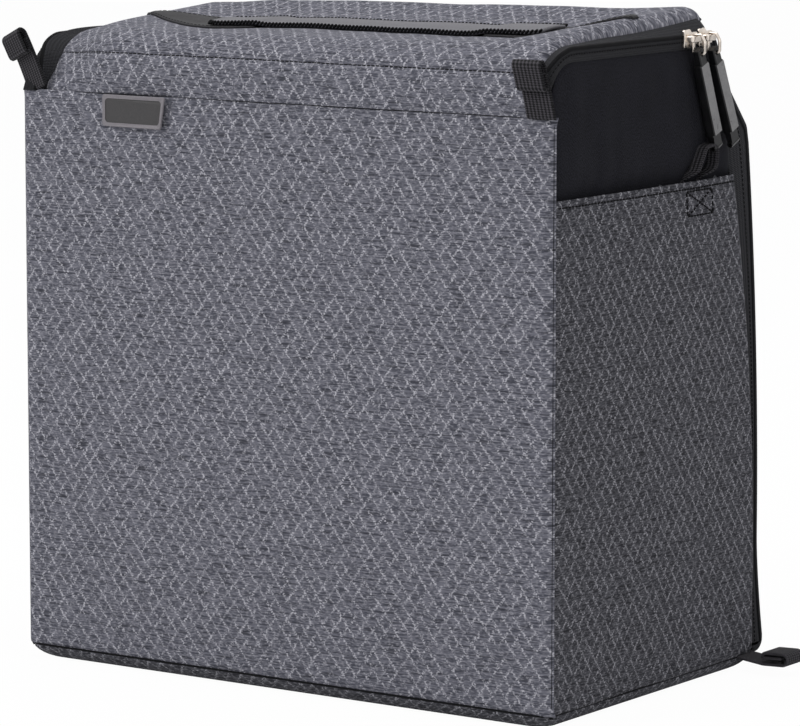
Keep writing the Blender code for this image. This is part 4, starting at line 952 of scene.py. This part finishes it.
def lid_point(across, share):
    """A place on the lid's outer face: across runs from -1 to 1."""
    y, z, wide, angle = lid_line(share)
    wide += 0.0014
    x = across * wide
    back = max(0, share - 1)
    roll, fall = 0.0045 + 0.0045 * min(1, share), 0.0026 + 0.0034 * smooth(share, 0.4, 1.2)
    fall += 0.0016 * math.sin(math.pi * min(1, back))
    near = wide - abs(x)
    drop = fall * (1 - math.sqrt(1 - max(0, 1 - near / roll) ** 2))
    inside = min(1, near / 0.02)
    rear = (1 - back) * (LID_BACK - LID_R)
    drop += 0.0022 * (1 - math.sqrt(1 - max(0, 1 - rear / 0.0045) ** 2))
    out = crown(x, back) + 0.0004 - drop
    out += (ripple(x, y, z, 0.05, 11) * 0.0008 + ripple(x, y, z, 0.02, 4) * 0.00025) * inside
    if share < 0.999:
        height = LID_TOP - LID_R - SEAM_Z
        along = share * (height + LID_R * math.pi / 2)
        out -= dip(along, 0.0016, SEAM_DIP)
        fold = fold_share() * (height + LID_R * math.pi / 2)
        out -= dip(along - fold, 0.0012, 0.0006)
    y, z = y - out * math.cos(angle), z + out * math.sin(angle)
    return tuple(settled((x, y, z + lid_shift(x, y, z)), SUNK_LID))


def lid_columns():
    edge = np.array([-1, -0.9988, -0.996, -0.992, -0.987, -0.980, -0.972, -0.963, -0.953, -0.941])
    return np.concatenate((edge, np.linspace(-0.928, 0.928, 94), -edge[::-1]))


def lid_cloth(name, shares):
    columns = lid_columns()
    height = LID_TOP - LID_R - SEAM_Z + LID_R * math.pi / 2
    flat = LID_BACK - LID_R
    rows = [[lid_point(c, s) for c in columns] for s in shares]
    uv = []
    for s in shares:
        v = SEAM_Z + (height * s if s <= 1 else height + flat * (s - 1))
        uv.append([(lid_line(s)[2] * c, v) for c in columns])
    return sheet(name, rows, CLOTH, CLOTH_FRONT, np.array(uv))


def lid():
    fold = fold_share()
    band = lid_cloth("band_cloth", places(0, fold, 0.05, 0.02))
    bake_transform(band)
    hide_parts("front_band")
    front = places(fold, 1, 0.04, 0.02)
    back = np.linspace(1, 1.955, 42)[1:]
    edge = [1.966, 1.976, 1.985, 1.993, 1.998, 2.0]
    cover = lid_cloth("lid_cloth", np.concatenate((front, back, edge)))
    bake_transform(cover)
    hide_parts("lid_cover")
    columns = np.linspace(-0.99, 0.99, 200)
    line = [lid_point(c, fold) for c in columns]
    on(stitches("fold_stitches", [line], THREAD, 0.0026, 0.0021, 0.00034), "lid_band", "outer_fabric")
    # A thin dark cord along the lid's front seam: the seam line and painted shade in its groove.
    line = [lid_point(c, 0.0) for c in columns]
    line = [(x, y + 0.0002, z) for x, y, z in line]
    on(tube("front_seam_and_shade", resampled(line, 0.004), 0.0003, THREAD, sides=6), "shell", "outer_fabric")


zips()
lid()


# The door.


def door_rows():
    """(y, z, outward y, outward z) down the door's outer face, from its top edge to its foot."""
    line = door_line(DOOR_TURN_Z, DOOR_FOOT, 0.005)
    line = resampled(line, 0.0032)
    out = []
    for i, (y, z) in enumerate(line):
        along = Vector(line[min(i + 1, len(line) - 1)]) - Vector(line[max(i - 1, 0)])
        along.normalize()
        out.append((y, z, -along.y, along.x))
    return out


def door_point(across, row, run, total):
    y, z, out_y, out_z = row
    half = DOOR_HALF - 0.0018
    x = across * half
    near = half - abs(x)
    edge = min(near, run + 0.004, (total - run) + 0.004)
    pad = 1 - math.exp(-edge / 0.010)
    out = 0.0003 + 0.0052 * pad * max(0, 1 - abs(across) ** 5) * min(1, max(0, (run - 0.058) / 0.03))
    out += 0.0010 * min(1, near / 0.006)
    out += ripple(x, y, z, 0.06, 21) * 0.0008 * pad
    out -= dip(run - 0.056, 0.0016, 0.0009)
    return (x, y + out_y * out, z + out_z * out)


def door():
    rows = door_rows()
    run = [0.0]
    for a, b in zip(rows, rows[1:]):
        run.append(run[-1] + math.hypot(b[0] - a[0], b[1] - a[1]))
    columns = lid_columns()
    points = [[door_point(c, row, r, run[-1]) for c in columns] for row, r in zip(rows, run)]
    uv = np.array([[(DOOR_HALF * c, -r) for c in columns] for r in run])
    piece = sheet("door_cloth", settled(points, SUNK_SIDE), CLOTH, CLOTH_FRONT, uv)
    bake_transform(piece)
    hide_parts("door_cover", "door_top_band")
    index = min(range(len(run)), key=lambda i: abs(run[i] - 0.0525))
    line = [door_point(c, rows[index], run[index], run[-1]) for c in np.linspace(-0.97, 0.97, 160)]
    on(stitches("door_stitches", [line], THREAD, 0.0028, 0.0020, 0.00024), "door", "outer_fabric")
    edge = [lid_point(c, 2.0) for c in np.linspace(-0.995, 0.995, 90)]
    edge = [(x, y + 0.0004, z - 0.0012) for x, y, z in edge]
    on(tube("lid_back_binding", edge, 0.0011, BLACK, sides=8), "lid", "outer_fabric")


door()


# The handle on the lid.


def lid_height(x, y):
    back = (y - FRONT - LID_R) / (LID_BACK - LID_R)
    share = 1 + max(-0.2, back)
    return lid_point(max(-1, min(1, x / (LID_HALF + 0.0014))), share)[2]


def handle():
    middle = FRONT + HANDLE_Y
    patch = 0.0011
    rows = []
    columns = np.linspace(-1, 1, 90)
    for t in places(-1, 1, 0.16, 0.04):
        row = []
        for c in columns:
            x = c * HANDLE_HALF
            taper = max(0, (abs(c) - 0.93) / 0.07)
            half = HANDLE_WIDE / 2 * (1 - 0.25 * taper ** 2)
            y = middle + t * half
            arch = 0.0006 * (1 - t * t) + patch * float(smooth(abs(x), 0.060, 0.070))
            z = lid_height(x, y) + arch + 0.0024
            row.append((x, y, z))
        rows.append(row)
    strap = sheet("handle_strap", rows, 0.0019, STRAP)
    on(strap, "handle", "handle_strap", "grab_handle")
    for index, row in ((0, rows[0]), (1, rows[-1])):
        line = resampled([(x, y, z - 0.0010) for x, y, z in row], 0.0021)
        beads = []
        for x, y, z in line:
            out = y + (0.0005 if index else -0.0005)
            beads.append(((x - 0.0011, out, z - 0.0006), (x + 0.0011, out, z + 0.0014)))
        on(whipping("handle_whipping_%d" % index, beads, 0.00072), "handle", "handle_strap")
    for side, sign in (("right", 1), ("left", -1)):
        rows, lines = [], [[], []]
        for share in np.linspace(0, 1, 26):
            x = sign * (0.0690 + 0.0760 * share)
            half = 0.0195 * math.sin(math.pi * (0.28 + 0.68 * share))
            row = []
            for t in np.linspace(-1, 1, 13):
                y = middle + t * half
                row.append((x, y, lid_height(x, y) + 0.0010 + 0.0004 * (1 - t * t)))
            rows.append(row)
            for k, t in ((0, -0.84), (1, 0.84)):
                y = middle + t * half
                lines[k].append((x, y, lid_height(x, y) + 0.0011))
        patch_piece = sheet("patch_" + side, rows, 0.0010, PATCH, flip=sign > 0)
        on(patch_piece, "lid", "handle_strap", "handle_patch_" + side)
        seams = stitches("patch_stitches_" + side, lines, THREAD, 0.0026, 0.0020, 0.00026)
        on(seams, "lid", "handle_strap")


def whipping(name, pairs, radius):
    """Thick slanted stitches wrapped round an edge, each from one point to another."""
    verts, faces = [], []
    for here, there in pairs:
        here, there = Vector(here), Vector(there)
        along = (there - here).normalized()
        side = along.orthogonal().normalized()
        high = side.cross(along)
        start = len(verts)
        for share, wide in ((0, 0.35), (0.16, 0.85), (0.5, 1), (0.84, 0.85), (1, 0.35)):
            for k in range(7):
                turn = 2 * math.pi * k / 7
                spoke = side * math.cos(turn) + high * math.sin(turn)
                verts.append(here.lerp(there, share) + spoke * radius * wide)
        for ring in range(4):
            for k in range(7):
                a = start + ring * 7
                faces.append((a + k, a + (k + 1) % 7, a + 7 + (k + 1) % 7, a + 7 + k))
        faces.append(tuple(start + k for k in range(6, -1, -1)))
        faces.append(tuple(start + 28 + k for k in range(7)))
    return mesh_object(name, verts, faces, THREAD)


handle()


# Webbing: tabs at the corners and loops at the sides.


def ribbon(name, line, width, thick, matrix):
    """Webbing along a line of (u, w) points in the matrix's own X and Z, with its width along Y."""
    line = resampled(line, 0.0007)
    across = places(-width / 2, width / 2, 0.0012, 0.0004)
    run = 0.0
    rows, uv = [], []
    for i, (u, w) in enumerate(line):
        if i:
            run += math.hypot(u - line[i - 1][0], w - line[i - 1][1])
        rows.append([tuple(matrix @ Vector((u, t, w))) for t in across])
        uv.append([(run, t) for t in across])
    return sheet(name, rows, thick, WEBBING, np.array(uv))


def folded(strap, head, thick, web, bend=0.0):
    """A strap that folds back on itself at its end to make a thick head, and curls outward by bend."""
    end = strap + head
    gap = 0.0003
    top = thick - web / 2
    base, under = web / 2 + gap, top - web - 0.0001
    line = rounded([
        (0, base, 0), (end, base, 0.0018), (end, top, 0.0018),
        (strap, top, 0.0007), (strap, under, 0.0006), (strap + head * 0.55, under, 0),
    ], 8)
    return [(u, w + bend * (max(0, u) / end) ** 2) for u, w in resampled(line, 0.0007)]


def tabs():
    stand = Matrix(((0, 1, 0), (0, 0, -1), (1, 0, 0))).to_4x4()
    for side, x, y, z, strap, head, turn, lean, shear, bend in (
        ("right", 0.1511, -0.0004, SEAM_Z + 0.0002, 0.0098, 0.0118, 0, 0, -0.21, 0.0012),
        ("left", -0.1460, 0.0014, SEAM_Z + 0.0006, 0.0146, 0.0102, -17, -22, 0, 0.0022),
    ):
        slant = Matrix.Identity(4)
        slant[0][2] = shear
        matrix = Matrix.Translation((x, FRONT + y, z)) @ slant
        leaned = Matrix.Rotation(math.radians(lean), 4, "Y")
        matrix = matrix @ leaned @ Matrix.Rotation(math.radians(turn), 4, "Z") @ stand
        line = folded(strap + 0.004, head, 0.0046, 0.0016, bend)
        on(ribbon("front_tab_web_" + side, line, TAB_WIDE, WEB, matrix),
           "front_tab_%s_body" % side, "webbing", "front_tab_" + side)
    for side, sign in (("right", 1), ("left", -1)):
        matrix = Matrix.Translation((sign * 0.151, FRONT + 0.180, 0.0034)) @ Matrix.Diagonal((sign, 1, 1, 1))
        line = rounded([
            (-0.004, 0.0052, 0), (0.004, 0.0030, 0.004), (0.019, 0.0012, 0.006),
            (0.0332, 0.0018, 0.0034), (0.0336, 0.0088, 0.0034), (0.0180, 0.0082, 0.0020),
            (0.0180, 0.0044, 0.0009), (0.0290, 0.0048, 0),
        ], 8)
        piece = ribbon("rear_tab_web_" + side, line, TAB_WIDE, WEB, matrix)
        if sign < 0:
            piece.data.flip_normals()
        on(piece, "rear_tab_%s_body" % side, "webbing", "rear_tab_" + side)
        low = POCKET_TOP - 0.006
        line = rounded([
            (0.0185, low, 0), (0.0216, low + 0.0050, 0.005), (0.0335, low + 0.0232, 0.0060),
            (0.0448, low + 0.0240, 0.0042), (0.0440, low + 0.0130, 0.006),
            (0.0375, low + 0.0045, 0.004), (0.0368, low, 0),
        ], 10)
        upright = Matrix(((0, sign, 0), (1, 0, 0), (0, 0, 1))).to_4x4()
        matrix = Matrix.Translation((sign * 0.1588, 0, 0)) @ upright
        piece = ribbon("side_loop_web_" + side, line, 0.0060, WEB, matrix)
        for vertex in piece.data.vertices:
            clear = float(smooth(vertex.co.z, POCKET_TOP - 0.0005, POCKET_TOP + 0.006))
            vertex.co.x -= sign * 0.0076 * (1 - clear)
        if sign > 0:
            piece.data.flip_normals()
        on(piece, "shell", "webbing", "side_loop_" + side)


tabs()


# The bare label.


def label():
    half, tall = 0.0200, 0.0078

    def ring(shrink, depth, radius):
        corners = ((-1, -1), (1, -1), (1, 1), (-1, 1))
        line = rounded([(u * (half - shrink), v * (tall - shrink), radius) for u, v in corners], 7)
        out = []
        for u, v in line:
            lift = 0.0018 * max(0, (u - 0.008) / 0.0106) ** 2
            slant = 0.0026 * max(0, u / half) * (0.5 - 0.5 * v / tall)
            out.append((LABEL_X + u - slant, FRONT - 0.0011 - lift - depth, LABEL_Z + 0.0006 + v))
        return out

    rings = [ring(*row) for row in (
        (0.0002, 0, 0.0012), (0, 0.0003, 0.0014), (0, 0.0009, 0.0014),
        (0.0003, 0.0013, 0.0012), (0.0019, 0.0013, 0.0019), (0.0022, 0.0010, 0.0017),
    )]
    verts = [p for loop in rings for p in loop]
    count = len(rings[0])
    faces = []
    for k in range(len(rings) - 1):
        for i in range(count):
            j = (i + 1) % count
            faces.append((k * count + i, k * count + j, (k + 1) * count + j, (k + 1) * count + i))
    faces.append(tuple(range(count - 1, -1, -1)))
    faces.append(tuple((len(rings) - 1) * count + i for i in range(count)))
    piece = mesh_object("label_plate", verts, faces, BADGE, smooth=False)
    piece.data.materials.append(BADGE_FIELD)
    for face in piece.data.polygons[(len(rings) - 2) * count:]:
        face.material_index = 1
    piece.data.polygons[len(piece.data.polygons) - 2].material_index = 0
    on(piece, "shell", "label_rubber", "front_label")


label()


# Sliders, rings and pulls.


def bevelled(obj, width, segments=2):
    step = obj.modifiers.new("edges", "BEVEL")
    step.width = width
    step.segments = segments
    step.limit_method = "ANGLE"
    step.angle_limit = math.radians(35)
    applied(obj)
    obj.data.polygons.foreach_set("use_smooth", [True] * len(obj.data.polygons))
    return obj


def copied(name, node, mat):
    mesh = NODES[node].data.copy()
    mesh.name = name
    mesh.materials.clear()
    mesh.materials.append(mat)
    obj = bpy.data.objects.new(name, mesh)
    bpy.context.scene.collection.objects.link(obj)
    return obj


def plate(name, outline, low, high, mat):
    """An outline of (y, z) points given thickness along X."""
    shape = bmesh.new()
    ends = [[shape.verts.new((x, y, z)) for y, z in outline] for x in (low, high)]
    shape.faces.new(ends[0][::-1])
    shape.faces.new(ends[1])
    for i in range(len(outline)):
        j = (i + 1) % len(outline)
        shape.faces.new((ends[0][i], ends[0][j], ends[1][j], ends[1][i]))
    bmesh.ops.recalc_face_normals(shape, faces=shape.faces)
    mesh = bpy.data.meshes.new(name)
    shape.to_mesh(mesh)
    shape.free()
    mesh.materials.append(mat)
    obj = bpy.data.objects.new(name, mesh)
    bpy.context.scene.collection.objects.link(obj)
    return obj


def joined(name, objects):
    """Several mesh objects as one, where they stand."""
    shape = bmesh.new()
    for obj in objects:
        shape.from_mesh(obj.data)
        bpy.data.objects.remove(obj, do_unlink=True)
    mesh = bpy.data.meshes.new(name)
    shape.to_mesh(mesh)
    shape.free()
    mesh.materials.append(NICKEL)
    mesh.polygons.foreach_set("use_smooth", [True] * len(mesh.polygons))
    obj = bpy.data.objects.new(name, mesh)
    bpy.context.scene.collection.objects.link(obj)
    return obj


def flat_bar(name, line, wide, thick, mat):
    """A flat bar bent along (x, y) points, as wide as given along Z."""
    points = np.array([(x, y, SLIDER_Z) for x, y in resampled(line, 0.0006)])
    rows = [[(x, y, z + t) for x, y, z in points] for t in np.linspace(-wide / 2, wide / 2, 5)]
    return sheet(name, rows, thick, mat)


def lowered(piece, sign):
    """Metal and pulls on the left sit with the sunken zip there."""
    if sign < 0:
        for vertex in piece.data.vertices:
            vertex.co.z -= SAG * 0.95
    return piece


def slider(owner, side, sign, y):
    low = 0.1550
    crown_line = rounded([
        (y - 0.0064, SLIDER_Z - 0.0047, 0.0010), (y - 0.0040, SLIDER_Z - 0.0040, 0.0006),
        (y - 0.0010, SLIDER_Z - 0.0046, 0.0012), (y + 0.0010, SLIDER_Z - 0.0028, 0.0012),
        (y + 0.0062, SLIDER_Z - 0.0031, 0.0012), (y + 0.0062, SLIDER_Z + 0.0031, 0.0012),
        (y + 0.0010, SLIDER_Z + 0.0028, 0.0012), (y - 0.0010, SLIDER_Z + 0.0046, 0.0012),
        (y - 0.0040, SLIDER_Z + 0.0040, 0.0006), (y - 0.0064, SLIDER_Z + 0.0047, 0.0010),
        (y - 0.0056, SLIDER_Z, 0.0008),
    ], 5)
    edges = sorted((sign * low, sign * (low + 0.0014)))
    body = bevelled(plate("slider", crown_line, *edges, NICKEL), 0.00025)
    foot, crown, near, far = 0.1558, 0.1604, y - 0.0046, y + 0.0042
    arch = rounded([(foot, near, 0), (crown, near, 0.0014), (crown, far, 0.0018), (foot, far, 0)], 8)
    bar = flat_bar("bridge", [(sign * x, v) for x, v in arch], 0.0026, 0.0008, NICKEL)
    piece = lowered(joined("%s_slider_cast_%s" % (owner, side), [body, bar]), sign)
    on(piece, "%s_slider_%s_body" % (owner, side), "nickel", "%s_slider_%s" % (owner, side))


def ring(owner, side, sign, y):
    """Two curved arms hooked on the bridge, with a cross wire below."""
    inner, outer = 0.1578, 0.1640
    top, foot = SLIDER_Z + 0.0021, SLIDER_Z - 0.0072
    loop = rounded([
        (inner, foot, 0.0012), (outer, foot, 0.0012), (outer + 0.0001, top - 0.0034, 0.0028),
        (outer - 0.0020, top, 0.0012), (inner, top, 0.0012),
    ], 7)
    line = resampled([(sign * x, y, z) for x, z in loop + loop[:1]], 0.0006)[:-1]
    wire = tube("wire", line, 0.0007, NICKEL, closed=True, sides=10, squeeze=1.5, up=(0, 1, 0))
    wire.name = "%s_ring_wire_%s" % (owner, side)
    lowered(wire, sign)
    on(wire, "%s_pull_%s_body" % (owner, side), "nickel", "%s_ring_%s" % (owner, side))


def pull(owner, side, sign, y, lean):
    node = "%s_pull_%s" % (owner, side)
    piece = copied("%s_grip_%s" % (owner, side), node, RUBBER)
    place = Matrix.Translation((sign * 0.1609, y, SLIDER_Z - 0.0072)) @ Matrix.Rotation(lean, 4, "X")
    away = place.inverted()
    swing = Matrix.Rotation(math.radians(3) if owner == "lid" else 0, 4, "X")
    for vertex in piece.data.vertices:
        here = away @ vertex.co
        grip = float(smooth(-here.z, 0.0040, 0.0075)) * (1 - float(smooth(-here.z, 0.0418, 0.0424)))
        here.x *= 1 + 0.45 * grip
        here.y *= 1 - 0.10 * grip
        vertex.co = place @ swing @ here
    bevelled(piece, 0.0003)
    away = (place @ swing).inverted()
    piece.data.materials.append(PULL_FACE)
    for face in piece.data.polygons:
        here = away @ face.center
        if face.normal.x * sign > 0.75 and -0.0418 < here.z < -0.0054:
            face.material_index = 1
    lowered(piece, sign)
    on(piece, "%s_pull_%s_body" % (owner, side), "moulded_rubber", node)


for pull_owner, pull_y, pull_lean in (("lid", FRONT + 0.1215, 18), ("door", FRONT + 0.1352, 24)):
    for pull_side, pull_sign in (("right", 1), ("left", -1)):
        slider(pull_owner, pull_side, pull_sign, pull_y)
        ring(pull_owner, pull_side, pull_sign, pull_y)
        pull(pull_owner, pull_side, pull_sign, pull_y, math.radians(pull_lean))


# The padding and the dividers inside.


def sink_pad(piece, name):
    """The pads keep under the cloth where the soft lid and the left front corner have sunk."""
    mesh = piece.data
    flat = np.empty(len(mesh.vertices) * 3)
    mesh.vertices.foreach_get("co", flat)
    points = settled(flat.reshape(-1, 3), SUNK_LID if name in ("lid_pad", "front_pad") else SUNK_SIDE)
    if name == "lid_pad":
        x, y, z = points.T
        points[:, 2] += np.minimum(0, lid_shift(x, y, z) - 0.0008) * smooth(z, 0.308, 0.316)
    mesh.vertices.foreach_set("co", points.ravel())
    mesh.update()


def inside():
    covered = {"base_pad": ["liner"], "lid_pad": ["lid_lining"], "door_pad": ["door_lining"]}
    for name, nodes, body, swell in (
        ("front_pad", ["front_foam"], "shell", 0.0006),
        ("right_pad", ["side_foam_right"], "shell", 0.0006),
        ("left_pad", ["side_foam_left"], "shell", 0.0006),
        ("base_pad", ["base_foam"], "shell", 0.0006),
        ("lid_pad", ["lid_foam"], "lid", 0.0006),
        ("door_pad", ["door_foam"], "door", 0.0006),
    ):
        piece = soft_copy(name, nodes, 0.0022, LINING, 5, swell)
        sink_pad(piece, name)
        on(piece, body, "lining", *nodes, *covered.get(name, []))
    names = ["column_divider_right", "column_divider_left", "shelf_middle"]
    names += ["shelf_%s_%s" % (side, level) for side in ("right", "left") for level in ("lower", "upper")]
    for node in names:
        piece = soft_copy(node.replace("divider", "pad") + "_soft", [node], 0.0016, LINING, 4, 0.0004)
        on(piece, "shell", "lining", node)


inside()


# Camera, light and floor.


def stage():
    mat = bpy.data.materials.new("floor")
    mat.use_nodes = True
    tree = mat.node_tree
    bsdf = tree.nodes["Principled BSDF"]
    bsdf.inputs["Roughness"].default_value = 0.9
    bsdf.inputs["Specular IOR Level"].default_value = 0.1
    soft = noise_of(tree, object_place(tree)[0], 4.0, 2.0, 0.5)
    link(tree, mix(tree, soft, (0.90, 0.90, 0.90), (0.92, 0.92, 0.92)), bsdf.inputs["Base Color"])
    glow = tree.nodes.new("ShaderNodeEmission")
    glow.inputs[0].default_value = (1, 1, 1, 1)
    blend = tree.nodes.new("ShaderNodeMixShader")
    seen = tree.nodes.new("ShaderNodeLightPath").outputs["Is Camera Ray"]
    link(tree, calc(tree, "MULTIPLY", seen, 0.97), blend.inputs[0])
    tree.links.new(bsdf.outputs[0], blend.inputs[1])
    tree.links.new(glow.outputs[0], blend.inputs[2])
    tree.links.new(blend.outputs[0], tree.nodes["Material Output"].inputs[0])
    shape = bmesh.new()
    bmesh.ops.create_circle(shape, cap_ends=True, radius=6.0, segments=96)
    mesh = bpy.data.meshes.new("floor")
    shape.to_mesh(mesh)
    shape.free()
    mesh.materials.append(mat)
    floor = bpy.data.objects.new("floor", mesh)
    bpy.context.scene.collection.objects.link(floor)


def world():
    made = bpy.data.worlds.new("studio")
    made.use_nodes = True
    tree = made.node_tree
    tree.nodes.clear()
    out = tree.nodes.new("ShaderNodeOutputWorld")
    path = tree.nodes.new("ShaderNodeLightPath")
    seen = calc(tree, "MAXIMUM", path.outputs["Is Camera Ray"], path.outputs["Is Glossy Ray"])
    seen = calc(tree, "MAXIMUM", seen, path.outputs["Is Transmission Ray"])
    room = tree.nodes.new("ShaderNodeBackground")
    room.inputs[0].default_value = (0.96, 0.97, 1.0, 1)
    room.inputs[1].default_value = 0.55
    white = tree.nodes.new("ShaderNodeBackground")
    white.inputs[0].default_value = (1, 1, 1, 1)
    white.inputs[1].default_value = 1.0
    blend = tree.nodes.new("ShaderNodeMixShader")
    link(tree, seen, blend.inputs[0])
    tree.links.new(room.outputs[0], blend.inputs[1])
    tree.links.new(white.outputs[0], blend.inputs[2])
    tree.links.new(blend.outputs[0], out.inputs[0])
    bpy.context.scene.world = made


def lamp(name, place, size, power, target=(0, 0, 0.15)):
    data = bpy.data.lights.new(name, "AREA")
    data.shape = "DISK"
    data.size = size
    data.energy = power
    obj = bpy.data.objects.new(name, data)
    obj.location = place
    obj.rotation_euler = (Vector(target) - Vector(place)).to_track_quat("-Z", "Y").to_euler()
    bpy.context.scene.collection.objects.link(obj)


def camera():
    azimuth, elevation = math.radians(34.772), math.radians(7.937)
    level = math.cos(elevation)
    back = Vector((math.sin(azimuth) * level, -math.cos(azimuth) * level, math.sin(elevation)))
    right = Vector((math.cos(azimuth), math.sin(azimuth), 0))
    up = back.cross(right)
    target = Vector((0, 0, 0.155)) + right * 0.004981 - up * 0.004336
    data = bpy.data.cameras.new("camera")
    data.lens = 205.1
    data.sensor_width = 36
    data.sensor_fit = "HORIZONTAL"
    data.clip_start, data.clip_end = 0.05, 30
    obj = bpy.data.objects.new("camera", data)
    place = target + back * 2.25906
    obj.matrix_world = Matrix.Translation(place) @ Matrix((right, up, back)).transposed().to_4x4()
    bpy.context.scene.collection.objects.link(obj)
    bpy.context.scene.camera = obj


stage()
world()
lamp("key", (-0.9, -1.7, 1.5), 1.1, 20)
lamp("top", (0.2, 0.1, 2.0), 1.4, 15)
lamp("fill", (1.8, -0.6, 0.7), 1.2, 3.8)
camera()
bpy.context.scene.view_settings.view_transform = "Standard"


# What the frame still shows, with better finishes.

FINISH = {
    "label_rubber": BADGE,
    "webbing": WEBBING,
    "nickel": NICKEL,
    "moulded_rubber": RUBBER,
    "handle_strap": STRAP,
    "lining": LINING,
    "foam": LINING,
    "zip_tape": TAPE_CLOTH,
    "outer_fabric": CLOTH_FRONT,
    "black_fabric": BLACK,
}
for row in frame["record"]["subparts"]:
    node = NODES[row["node"]]
    mat = FINISH[row["material_slot"]]
    node.data.materials.clear()
    node.data.materials.append(mat)
